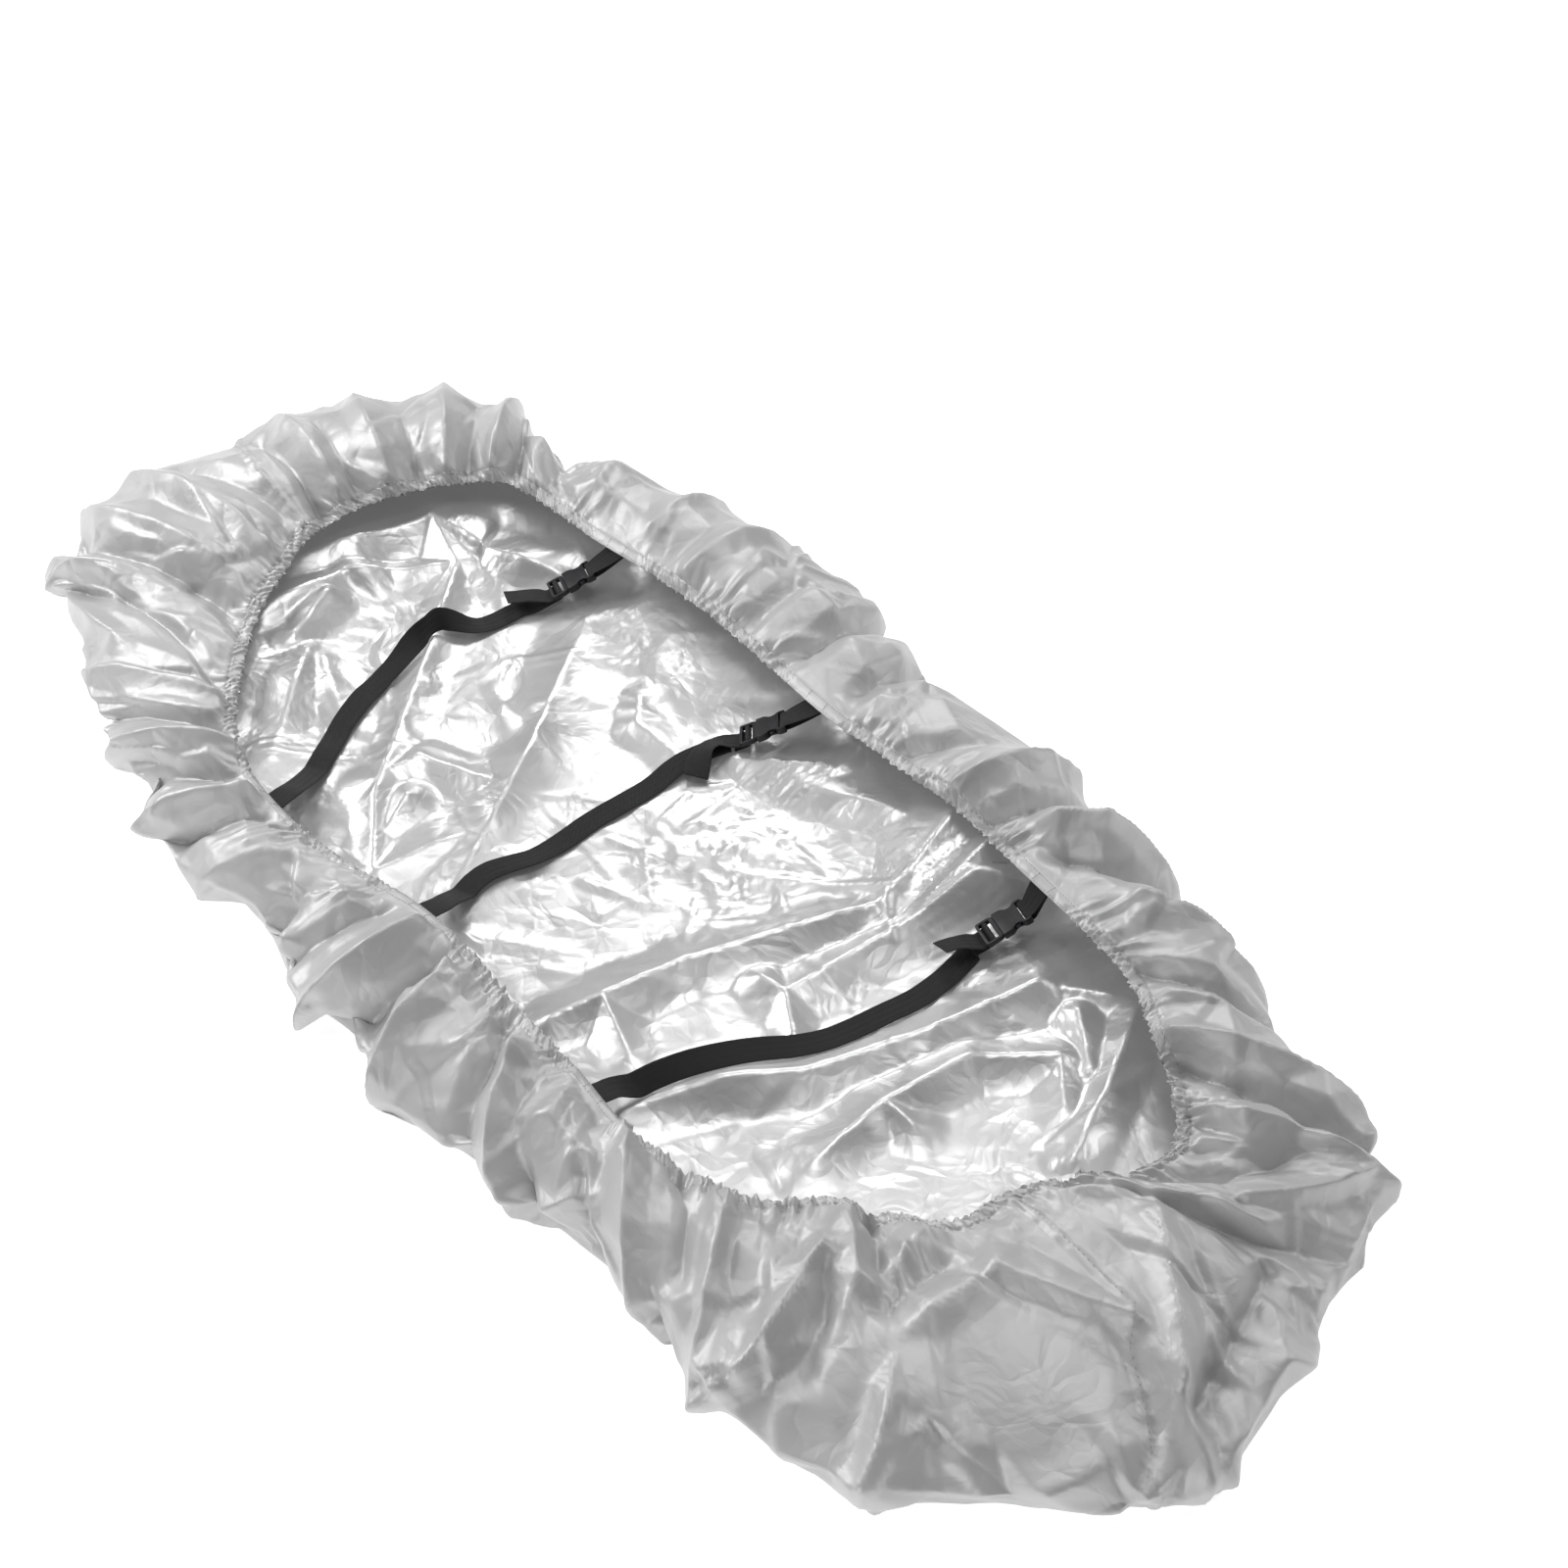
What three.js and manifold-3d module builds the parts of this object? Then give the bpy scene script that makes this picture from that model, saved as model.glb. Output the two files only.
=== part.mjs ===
// Fitted canoe cover, lying inside up on a floor with its elastic hem drawn in.
// Millimetres, +Z up. The long axis runs along X, the three straps run along Y.
import * as THREE from 'three';
import { mergeVertices } from 'three/addons/utils/BufferGeometryUtils.js';
import Module from 'manifold-3d';

const manifold = await Module();
manifold.setup();

// Driving dimensions of the cloth
const SHEET_THICK = 2;
const LYING_HEIGHT = SHEET_THICK / 2;
const COLUMNS = 128;
const RIM_STEPS = [0, 0.05, 0.12, 0.21, 0.31, 0.42, 0.53, 0.64, 0.75, 0.85, 0.93, 1];
const FLOOR_STEPS = [0.03, 0.1, 0.22, 0.36, 0.51, 0.66, 0.82, 1];
const FOOT_TURN_HEIGHT = 8;
const SPINE_NARROWING = 0.14;
const SPINE_SHORTENING = 0.34;
const END_STARTS_AT = 480;
const END_FULL_AT = 960;
const PLAN_SHIFT = new THREE.Vector3(-59.2, -14.6, 0);

// Driving dimensions of the webbing and its buckles
const WEB_WIDTH = 30;
const WEB_THICK = 1.5;
const SEAT_GAP = 0.3;
const REST_GAP = 1.2;
const SEAT_DEEP = 0.075;
const SEAT_EDGE = 0.008;
const SEAT_LENGTH = 16;
const SEAT_SPARE = 0.25;

function table(names, rows) {
  const keys = names.split(' ');
  return rows.map((row) => Object.fromEntries(keys.map((key, i) => [key, row[i]])));
}

// Sections round the cover: where the hem hangs, where the cloth turns under on the floor,
// and how high the rim puffs between the two
const SECTIONS = table('hem_x hem_y hem_z foot_x foot_y crest_z crest_at bulge', [
  [-648, 10, 70, -905, -5, 112, 0.5, 0.04],
  [-617, -52, 68, -900, -105, 104, 0.5, 0.04],
  [-582, -112, 66, -848, -224, 92, 0.5, 0.05],
  [-536, -166, 65, -790, -258, 84, 0.45, 0.05],
  [-487, -212, 64, -680, -298, 84, 0.42, 0.06],
  [-430, -256, 62, -586, -342, 80, 0.42, 0.08],
  [-360, -286, 60, -480, -364, 76, 0.42, 0.1],
  [-270, -297, 60, -335, -408, 76, 0.4, 0.1],
  [-170, -292, 60, -215, -388, 76, 0.4, 0.1],
  [-60, -271, 62, -85, -424, 78, 0.4, 0.06],
  [40, -269, 62, 35, -412, 78, 0.4, 0.08],
  [145, -280, 60, 145, -430, 76, 0.4, 0.08],
  [250, -287, 60, 265, -420, 76, 0.4, 0.08],
  [350, -298, 60, 385, -410, 78, 0.4, 0.08],
  [435, -284, 62, 500, -404, 80, 0.4, 0.08],
  [507, -258, 62, 620, -426, 82, 0.42, 0.06],
  [560, -200, 62, 765, -408, 84, 0.45, 0.05],
  [612, -168, 58, 872, -325, 86, 0.45, 0.05],
  [662, -128, 60, 968, -240, 88, 0.45, 0.05],
  [676, -62, 62, 1016, -130, 90, 0.45, 0.04],
  [705, 5, 64, 990, 12, 90, 0.45, 0.04],
  [740, 55, 60, 958, 112, 84, 0.45, 0.04],
  [748, 105, 60, 922, 225, 78, 0.45, 0.04],
  [706, 152, 62, 868, 276, 84, 0.5, 0.05],
  [640, 194, 66, 765, 304, 86, 0.55, 0.07],
  [565, 234, 68, 650, 338, 88, 0.58, 0.08],
  [470, 251, 70, 535, 368, 90, 0.6, 0.08],
  [370, 263, 70, 410, 396, 92, 0.6, 0.08],
  [262, 276, 70, 286, 420, 95, 0.6, 0.08],
  [150, 275, 70, 170, 424, 96, 0.6, 0.1],
  [40, 270, 70, 50, 430, 98, 0.6, 0.1],
  [-75, 278, 70, -80, 456, 102, 0.6, 0.1],
  [-190, 285, 70, -200, 458, 103, 0.6, 0.1],
  [-300, 282, 70, -330, 446, 101, 0.6, 0.1],
  [-400, 272, 70, -450, 414, 98, 0.6, 0.1],
  [-490, 267, 72, -545, 352, 96, 0.6, 0.12],
  [-560, 258, 72, -640, 362, 104, 0.55, 0.1],
  [-598, 218, 72, -745, 352, 110, 0.52, 0.08],
  [-630, 158, 72, -822, 260, 114, 0.5, 0.06],
  [-650, 85, 72, -872, 132, 114, 0.5, 0.05],
]);
const SECTION_COUNT = SECTIONS.length;

// Folds of the rim. A place is a section number and the share of the way from hem to foot.
// left and right are how far the fold spreads on each side, high is its height at both ends.
const RIM_FOLDS = table('section_a way_a section_b way_b left right high_a high_b', [
  [0.45, 0.52, 0.15, 0.12, 30, 30, -9, -7],
  [0.8, 0.62, 0.9, 0.1, 36, 30, 9, 8],
  [1.45, 0.66, 1.7, 0.12, 45, 45, 16, 8],
  [1.85, 0.62, 2.3, 0.1, 40, 30, -16, -12],
  [2.35, 0.97, 2.35, 0.45, 40, 40, 14, 6],
  [2.75, 0.98, 3.0, 0.6, 40, 30, -20, -8],
  [2.6, 0.72, 3.9, 0.5, 45, 30, 12, 8],
  [3.1, 0.45, 4.3, 0.12, 26, 26, -9, -8],
  [5.25, 0.92, 5.3, 0.1, 30, 24, -14, -10],
  [5.7, 0.9, 5.75, 0.12, 40, 32, 12, 10],
  [6.15, 0.97, 6.4, 0.12, 34, 26, -22, -12],
  [6.65, 0.7, 6.7, 0.15, 30, 30, 13, 8],
  [6.95, 0.62, 7.1, 0.1, 26, 24, -12, -10],
  [7.4, 0.9, 7.7, 0.4, 60, 50, 14, 6],
  [8.4, 0.5, 8.65, 0.97, 34, 28, -12, -20],
  [8.75, 0.78, 9.0, 0.15, 28, 24, -15, -10],
  [9.35, 0.85, 9.55, 0.08, 36, 30, 18, 12],
  [9.25, 1, 9.9, 0.62, 28, 24, -18, -20],
  [9.9, 0.62, 10.0, 0.25, 28, 24, -20, -10],
  [10.1, 0.25, 10.95, 0.97, 36, 24, 14, 12],
  [11.1, 0.15, 12.0, 0.95, 30, 26, -16, -14],
  [11.45, 0.3, 12.75, 0.92, 28, 26, 16, 12],
  [12.35, 0.6, 13.3, 0.97, 28, 24, -15, -18],
  [13.0, 0.15, 14.4, 0.88, 40, 28, 14, 12],
  [13.95, 0.05, 14.35, 0.5, 24, 22, -13, -8],
  [14.2, 0.72, 14.75, 0.97, 28, 24, -13, -16],
  [14.65, 0.12, 15.0, 0.72, 28, 24, 10, 12],
  [15.05, 0.7, 15.9, 0.25, 50, 32, 20, 14],
  [15.15, 0.74, 16.0, 0.38, 32, 50, -16, -16],
  [16.25, 0.1, 16.35, 0.3, 50, 40, 10, 14],
  [16.62, 0.03, 16.58, 0.32, 26, 26, -16, -18],
  [16.6, 0.34, 17.5, 0.17, 28, 28, -14, -10],
  [16.7, 0.48, 19.0, 0.42, 70, 50, 14, 12],
  [16.6, 0.5, 16.42, 0.8, 36, 26, 13, 12],
  [16.42, 0.8, 16.5, 1, 32, 24, 12, 8],
  [16.6, 0.78, 16.9, 0.71, 28, 26, 10, 12],
  [16.95, 0.74, 17.6, 0.88, 26, 32, -13, -10],
  [17.7, 0.84, 18.5, 0.76, 60, 34, 12, 12],
  [19.05, 0.45, 18.75, 0.92, 30, 26, 12, 10],
  [19.1, 0.5, 20.2, 0.25, 45, 36, 16, 10],
  [19.2, 0.55, 20.6, 0.5, 40, 32, -17, -12],
  [19.9, 0.62, 20.5, 0.85, 34, 30, 10, 8],
  [18.95, 0.9, 19.1, 0.74, 28, 24, 9, 9],
  [19.8, 0.03, 20.4, 0.25, 30, 30, -14, -24],
  [20.4, 0.25, 21.0, 0.5, 36, 34, -24, -28],
  [21.0, 0.5, 21.65, 0.88, 38, 34, -28, -20],
  [20.1, 0.1, 20.8, 0.35, 38, 26, 10, 14],
  [20.8, 0.35, 21.5, 0.85, 42, 28, 14, 12],
  [20.8, 0.05, 21.7, 0.3, 30, 30, -16, -22],
  [21.7, 0.3, 22.3, 0.43, 30, 30, -22, -12],
  [22.4, 0.45, 22.2, 0.72, 44, 36, 16, 12],
  [22.6, 0.25, 22.6, 0.36, 45, 40, 13, 10],
  [23.6, 0.08, 23.0, 0.45, 32, 28, -16, -22],
  [23.0, 0.45, 22.25, 1, 36, 32, -22, -18],
  [24.0, 0.1, 23.3, 0.75, 44, 32, 14, 12],
  [25.1, 0.1, 24.7, 0.5, 30, 26, -14, -18],
  [24.7, 0.5, 24.1, 0.85, 30, 28, -18, -15],
  [26.0, 0.3, 25.0, 0.78, 38, 30, 14, 12],
  [27.0, 0.15, 26.3, 0.6, 36, 30, -15, -22],
  [26.3, 0.6, 25.3, 0.92, 36, 32, -22, -16],
  [27.3, 0.28, 26.3, 0.85, 38, 30, 15, 12],
  [27.8, 0.05, 27.4, 0.72, 28, 26, -14, -17],
  [28.3, 0.1, 28.0, 0.65, 34, 30, 10, 12],
  [29.0, 0.08, 28.6, 0.36, 28, 26, -11, -6],
  [30.05, 0.1, 29.95, 0.62, 32, 26, -15, -17],
  [30.85, 0.15, 30.7, 0.78, 36, 28, -19, -17],
  [31.6, 0.08, 31.5, 0.35, 28, 26, -10, -6],
  [32.6, 0.1, 32.3, 0.7, 34, 30, 8, 6],
  [33.4, 0.1, 33.2, 0.6, 30, 28, 8, 6],
  [34.35, 0.25, 34.3, 0.8, 60, 60, 8, 8],
  [35.0, 0.2, 34.9, 0.9, 44, 40, -9, -12],
  [35.95, 0.08, 35.8, 0.55, 28, 26, -12, -10],
  [36.45, 0.08, 36.4, 0.6, 30, 28, 10, 8],
  [36.95, 0.06, 36.9, 0.45, 26, 24, -8, -6],
  [37.4, 0.08, 37.4, 0.6, 34, 30, 10, 8],
  [37.9, 0.05, 37.95, 0.5, 28, 26, -9, -7],
  [38.4, 0.08, 38.4, 0.6, 32, 30, 10, 8],
  [38.9, 0.05, 38.9, 0.4, 26, 24, -8, -6],
  [39.2, 0.1, 39.15, 0.55, 28, 26, 9, 8],
  [39.55, 0.03, 39.45, 0.5, 28, 24, -15, -17],
]);

// Folds of the sheet that lies on the floor, as straight stretches between two places
const FLOOR_FOLDS = table('x_a y_a x_b y_b left right high_a high_b', [
  [-608, 167, -636, 65, 40, 30, 22, 16],
  [-636, 65, -659, -24, 34, 26, 16, 10],
  [-531, 147, -600, 30, 34, 24, 20, 16],
  [-600, 30, -610, -98, 30, 24, 16, 12],
  [-608, 167, -515, 188, 34, 28, 22, 18],
  [-515, 188, -400, 240, 34, 26, 18, 12],
  [-608, 167, -531, 147, 40, 34, 22, 22],
  [-531, 147, -456, 55, 26, 20, 22, 14],
  [-456, 55, -364, -57, 26, 20, 14, 16],
  [-364, -57, -260, -184, 28, 20, 16, 18],
  [-260, -184, -169, -255, 28, 20, 18, 14],
  [-551, -94, -582, -18, 26, 26, 12, 18],
  [-520, -93, -405, -226, 28, 26, 14, 6],
  [-503, -84, -393, -131, 28, 26, 12, 4],
  [-331, 195, -248, 71, 60, 40, 14, 20],
  [-248, 71, -192, -10, 44, 28, 20, 22],
  [-192, -10, -92, -188, 44, 34, 22, 12],
  [-283, -170, -278, -104, 30, 26, 14, 14],
  [-278, -104, -194, -62, 30, 26, 14, 10],
  [-206, -221, -234, -155, 28, 26, 10, 16],
  [-166, -251, -155, -174, 40, 32, 14, 12],
  [-155, -174, -137, -106, 32, 30, 12, 6],
  [-190, 167, -155, 134, 28, 26, 10, 12],
  [-155, 134, -63, 134, 28, 26, 12, 6],
  [-27, 181, 59, 248, 28, 26, 10, 8],
  [63, 208, 187, 258, 28, 26, 8, 8],
  [148, -247, 165, -185, 32, 28, 20, 24],
  [165, -185, 184, -78, 36, 32, 24, 20],
  [165, -185, 241, -210, 28, 26, 24, 10],
  [184, -78, 248, 88, 38, 32, 20, 24],
  [248, 88, 267, 139, 34, 32, 24, 22],
  [267, 139, 240, 285, 50, 44, 22, 32],
  [259, -31, 291, -25, 26, 24, 16, 18],
  [291, -25, 345, -60, 26, 24, 18, 14],
  [291, -25, 301, 80, 28, 34, 16, 20],
  [301, 80, 319, 238, 28, 34, 20, 24],
  [319, 238, 363, 281, 26, 30, 24, 20],
  [307, 102, 304, 280, 28, 28, 16, 28],
  [298, -267, 342, -163, 44, 32, 14, 22],
  [342, -163, 391, -90, 40, 32, 22, 20],
  [391, -90, 441, 50, 44, 36, 20, 24],
  [441, 50, 475, 189, 40, 36, 24, 24],
  [478, 193, 554, 257, 26, 24, 14, 12],
  [486, -157, 481, -55, 36, 30, 14, 22],
  [481, -55, 498, 62, 40, 30, 22, 20],
  [498, 62, 561, 136, 36, 30, 20, 18],
  [484, -51, 520, -47, 28, 26, 22, 14],
  [561, 136, 612, 91, 28, 26, 16, 8],
  [530, 196, 592, 152, 28, 26, 18, 12],
  [572, 244, 628, 136, 28, 24, 20, 18],
  [628, 136, 668, 46, 28, 24, 18, 12],
]);

// Small gathers that the elastic draws into the hem
const GATHER = { count: 43, height: 4.5, fades_by: 0.3 };

// Where webbing is sewn to the hem the cloth stays flat: in sections along it, and in ways up the rim
const FLAT_SEAT = { along: 0.32, along_fades: 0.75, up: 0.1, up_fades: 0.24 };

// The three straps. Seats are section numbers of the hem. The plug's outer end and the socket's
// outer end are where the buckle lies; turn tips the webbing round its own length in degrees.
const STRAPS = [
  {
    number: 1,
    left_section: 6.72,
    right_section: 33.65,
    plug_end: [-402, 198, 24],
    socket_end: [-383, 248, 43],
    buckle_turn: -10,
    route: table('x y z turn', [
      [-308, -268, 50, 0],
      [-322, -245, 36, 0],
      [-338, -220, 22, 0],
      [-356, -192, 10, 4],
      [-374, -165, 0, 0],
      [-390, -140, 0, 0],
      [-406, -108, 0, 6],
      [-420, -78, 0, 8],
      [-430, -48, 0, 0],
      [-434, -14, 0, 8],
      [-440, 16, 0, 40],
      [-447, 38, 0, 74],
      [-450, 56, 0, 60],
      [-440, 76, 0, 25],
      [-428, 98, 0, 0],
      [-421, 130, 0, 0],
      [-418, 162, 4, 0],
    ]),
    tail: table('x y z turn', [
      [-411, 185, 20, -8],
      [-418, 176, 21, -10],
      [-427, 162, 21, -10],
      [-433, 150, 23, -10],
    ]),
  },
  {
    number: 2,
    left_section: 9.2,
    right_section: 30.25,
    plug_end: [-45, 205, 20],
    socket_end: [-12, 248, 43],
    buckle_turn: -10,
    route: table('x y z turn', [
      [-45, -248, 50, 0],
      [-54, -228, 38, 0],
      [-64, -207, 22, 0],
      [-73, -182, 8, 0],
      [-76, -154, 0, 0],
      [-70, -126, 0, -6],
      [-62, -98, 0, -8],
      [-61, -60, 0, 0],
      [-64, -15, 0, 0],
      [-63, 30, 0, 0],
      [-62, 75, 0, 0],
      [-64, 112, 0, 0],
      [-63, 142, 0, 0],
      [-58, 172, 3, 0],
    ]),
    tail: table('x y z turn', [
      [-53, 190, 17, -12],
      [-58, 176, 21, -26],
      [-57, 159, 23, -22],
      [-47, 141, 20, 0],
      [-33, 124, 15, 12],
    ]),
  },
  {
    number: 3,
    left_section: 12.4,
    right_section: 26.7,
    plug_end: [384, 190, 24],
    socket_end: [400, 240, 43],
    buckle_turn: -10,
    route: table('x y z turn', [
      [287, -268, 44, 8],
      [289, -248, 32, 24],
      [292, -226, 22, 30],
      [298, -203, 12, 30],
      [308, -177, 0, 26],
      [325, -141, 0, 18],
      [343, -106, 0, 12],
      [361, -72, 0, 6],
      [376, -36, 0, 0],
      [384, 0, 0, 0],
      [390, 40, 0, 0],
      [394, 82, 0, 0],
      [392, 122, 0, 0],
      [386, 156, 3, 0],
    ]),
    tail: table('x y z turn', [
      [377, 176, 21, -12],
      [373, 164, 25, -18],
      [370, 152, 28, -20],
      [368, 140, 30, -20],
    ]),
  },
];

function spline(a, b, c, d, t) {
  const part = (k) => 0.5 * (2 * b[k] + (c[k] - a[k]) * t
    + (2 * a[k] - 5 * b[k] + 4 * c[k] - d[k]) * t * t
    + (3 * b[k] - a[k] - 3 * c[k] + d[k]) * t * t * t);
  return [part(0), part(1), part(2)];
}

function smooth(low, high, value) {
  const t = Math.min(1, Math.max(0, (value - low) / (high - low)));
  return t * t * (3 - 2 * t);
}

// Seven guide points of one section, from the hem over the crest to the foot
function sectionGuides(row) {
  const at = (share, z) => [
    row.hem_x + (row.foot_x - row.hem_x) * share,
    row.hem_y + (row.foot_y - row.hem_y) * share,
    z,
  ];
  return [
    at(0, row.hem_z),
    at(row.crest_at * 0.45, row.hem_z + (row.crest_z - row.hem_z) * 0.75),
    at(row.crest_at, row.crest_z),
    at(row.crest_at + (1 - row.crest_at) * 0.66, row.crest_z * 0.8),
    at(1 + row.bulge, row.crest_z * 0.36),
    at(1 + row.bulge * 0.55, FOOT_TURN_HEIGHT),
    at(0.97, LYING_HEIGHT),
  ];
}
const GUIDES = SECTIONS.map(sectionGuides);
const LAST_GUIDE = 6;

function rimBase(section, way) {
  const first = Math.floor(section);
  const t = section - first;
  const row = (i) => GUIDES[((i % SECTION_COUNT) + SECTION_COUNT) % SECTION_COUNT];
  const guide = (k) => spline(row(first - 1)[k], row(first)[k], row(first + 1)[k], row(first + 2)[k], t);
  const beyond = (end, inner) => end.map((v, k) => 2 * v - inner[k]);
  const place = Math.min(1, Math.max(0, way)) * LAST_GUIDE;
  const k = Math.min(LAST_GUIDE - 1, Math.floor(place));
  const before = k > 0 ? guide(k - 1) : beyond(guide(0), guide(1));
  const after = k + 2 <= LAST_GUIDE ? guide(k + 2) : beyond(guide(LAST_GUIDE), guide(LAST_GUIDE - 1));
  return new THREE.Vector3(...spline(before, guide(k), guide(k + 1), after, place - k));
}

// Height of one fold at a place given along and across it: a crease with soft slopes
function creaseHeight(along, across, length, fold) {
  const t = Math.min(1, Math.max(0, along / length));
  const past = along - t * length;
  const reach = across > 0 ? fold.left : fold.right;
  const far = Math.hypot(across / reach, past / Math.max(fold.left, fold.right));
  if (far >= 1) return 0;
  return (fold.high_a + (fold.high_b - fold.high_a) * t) * (1 - far) ** 2;
}

// How freely the cloth may fold at a place: 0 where webbing is sewn to it, 1 away from there
function freedom(section, way) {
  const seats = STRAPS.flatMap((strap) => [strap.left_section, strap.right_section]);
  const apart = Math.min(...seats.map((seat) => Math.abs(section - seat)));
  const along = smooth(FLAT_SEAT.along, FLAT_SEAT.along_fades, apart);
  return Math.max(along, smooth(FLAT_SEAT.up, FLAT_SEAT.up_fades, way));
}

function gatherHeight(section, way) {
  const turn = (section / SECTION_COUNT) * 2 * Math.PI;
  const wave = Math.cos(GATHER.count * turn) + 0.45 * Math.cos((GATHER.count - 12) * turn + 1.3);
  return GATHER.height * wave * (1 - smooth(0.02, GATHER.fades_by, way));
}

function rimPoint(section, way) {
  const step = 0.02;
  const point = rimBase(section, way);
  const round = rimBase(section + step, way).sub(rimBase(section - step, way)).divideScalar(2 * step);
  const low = Math.max(0, way - step);
  const high = Math.min(1, way + step);
  const over = rimBase(section, high).sub(rimBase(section, low)).divideScalar(high - low);
  const outward = new THREE.Vector3().crossVectors(over, round).normalize();
  let ridge = 0;
  let trough = 0;
  for (const fold of RIM_FOLDS) {
    const apart = (section - fold.section_a + 1.5 * SECTION_COUNT) % SECTION_COUNT - SECTION_COUNT / 2;
    const run = new THREE.Vector2((fold.section_b - fold.section_a) * round.length(),
      (fold.way_b - fold.way_a) * over.length());
    const off = new THREE.Vector2(apart * round.length(), (way - fold.way_a) * over.length());
    const length = run.length();
    const high = creaseHeight(off.dot(run) / length, run.cross(off) / length, length, fold);
    ridge = Math.max(ridge, high);
    trough = Math.min(trough, high);
  }
  const settled = 1 - smooth(0.86, 1, way);
  const push = (ridge + trough) * settled + gatherHeight(section, way);
  point.addScaledVector(outward, push * freedom(section, way));
  return point.setZ(Math.max(point.z, LYING_HEIGHT));
}

function floorHeight(x, y, fromFoot) {
  let ridge = 0;
  for (const fold of FLOOR_FOLDS) {
    const run = new THREE.Vector2(fold.x_b - fold.x_a, fold.y_b - fold.y_a);
    const off = new THREE.Vector2(x - fold.x_a, y - fold.y_a);
    const length = run.length();
    ridge = Math.max(ridge, creaseHeight(off.dot(run) / length, run.cross(off) / length, length, fold));
  }
  return LYING_HEIGHT + ridge * smooth(0.05, 0.25, fromFoot);
}

function floorPoint(section, inward) {
  const foot = rimBase(section, 1);
  const ended = smooth(END_STARTS_AT, END_FULL_AT, Math.abs(foot.x));
  const spineX = foot.x * (1 - SPINE_SHORTENING * ended);
  const spineY = foot.y * SPINE_NARROWING;
  const x = foot.x + (spineX - foot.x) * inward;
  const y = foot.y + (spineY - foot.y) * inward;
  return new THREE.Vector3(x, y, floorHeight(x, y, inward));
}

// The middle surface of the cloth as rings of points, from the hem out and back to the spine
function clothRings() {
  const column = (i) => (i * SECTION_COUNT) / COLUMNS;
  const ring = (make) => Array.from({ length: COLUMNS }, (_, i) => make(column(i)));
  return [
    ...RIM_STEPS.map((way) => ring((section) => rimPoint(section, way))),
    ...FLOOR_STEPS.map((inward) => ring((section) => floorPoint(section, inward))),
  ];
}

function clothFaces(ringCount) {
  const faces = [];
  const at = (ring, i) => ring * COLUMNS + ((i + COLUMNS) % COLUMNS);
  for (let ring = 0; ring + 1 < ringCount; ring += 1) {
    for (let i = 0; i < COLUMNS; i += 1) {
      faces.push([at(ring, i), at(ring + 1, i), at(ring + 1, i + 1)]);
      faces.push([at(ring, i), at(ring + 1, i + 1), at(ring, i + 1)]);
    }
  }
  const last = ringCount - 1;
  for (let i = 0; i < COLUMNS / 2; i += 1) {
    const [a, b, c, d] = [at(last, i), at(last, -i), at(last, -i - 1), at(last, i + 1)];
    if (a !== b) faces.push([a, b, c]);
    if (c !== d) faces.push([a, c, d]);
  }
  return faces;
}

// Gives a middle surface its thickness: both skins, joined round the open hem edge
function thickSheet(points, faces, rimCount, thick) {
  const normals = points.map(() => new THREE.Vector3());
  for (const [a, b, c] of faces) {
    const face = new THREE.Vector3().crossVectors(
      points[b].clone().sub(points[a]), points[c].clone().sub(points[a]));
    [a, b, c].forEach((corner) => normals[corner].add(face));
  }
  normals.forEach((normal) => normal.normalize());
  const outer = points.map((p, i) => p.clone().addScaledVector(normals[i], thick / 2));
  const inner = points.map((p, i) => p.clone().addScaledVector(normals[i], -thick / 2));
  const count = points.length;
  const all = [...faces, ...faces.map(([a, b, c]) => [a + count, c + count, b + count])];
  for (let i = 0; i < rimCount; i += 1) {
    const next = (i + 1) % rimCount;
    all.push([i, next, next + count], [i, next + count, i + count]);
  }
  return { points: [...outer, ...inner], faces: all };
}

function geometryOf({ points, faces }) {
  const geometry = new THREE.BufferGeometry();
  geometry.setAttribute('position', new THREE.Float32BufferAttribute(points.flatMap((p) => p.toArray()), 3));
  geometry.setIndex(faces.flat());
  return geometry;
}

// Height of a skin over a place in plan, picked from the faces that cover it
function skinHeights(skin, x, y) {
  const heights = [];
  for (const [a, b, c] of skin.faces) {
    const [p, q, r] = [skin.points[a], skin.points[b], skin.points[c]];
    const area = (q.x - p.x) * (r.y - p.y) - (r.x - p.x) * (q.y - p.y);
    const s = ((q.x - x) * (r.y - y) - (r.x - x) * (q.y - y)) / area;
    const t = ((r.x - x) * (p.y - y) - (p.x - x) * (r.y - y)) / area;
    const u = 1 - s - t;
    if (s >= 0 && t >= 0 && u >= 0) heights.push(s * p.z + t * q.z + u * r.z);
  }
  return heights;
}

const rings = clothRings();
const clothPoints = rings.flat();
const cloth = thickSheet(clothPoints, clothFaces(rings.length), COLUMNS, SHEET_THICK);
const floorStart = RIM_STEPS.length * COLUMNS;
const isFloorTop = (face) => face.every((i) => i >= clothPoints.length + floorStart);
const isRimUnder = (face) => face.every((i) => i >= clothPoints.length && i < clothPoints.length + floorStart);
const floorTop = { points: cloth.points, faces: cloth.faces.filter(isFloorTop) };
const rimUnder = { points: cloth.points, faces: cloth.faces.filter(isRimUnder) };

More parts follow.
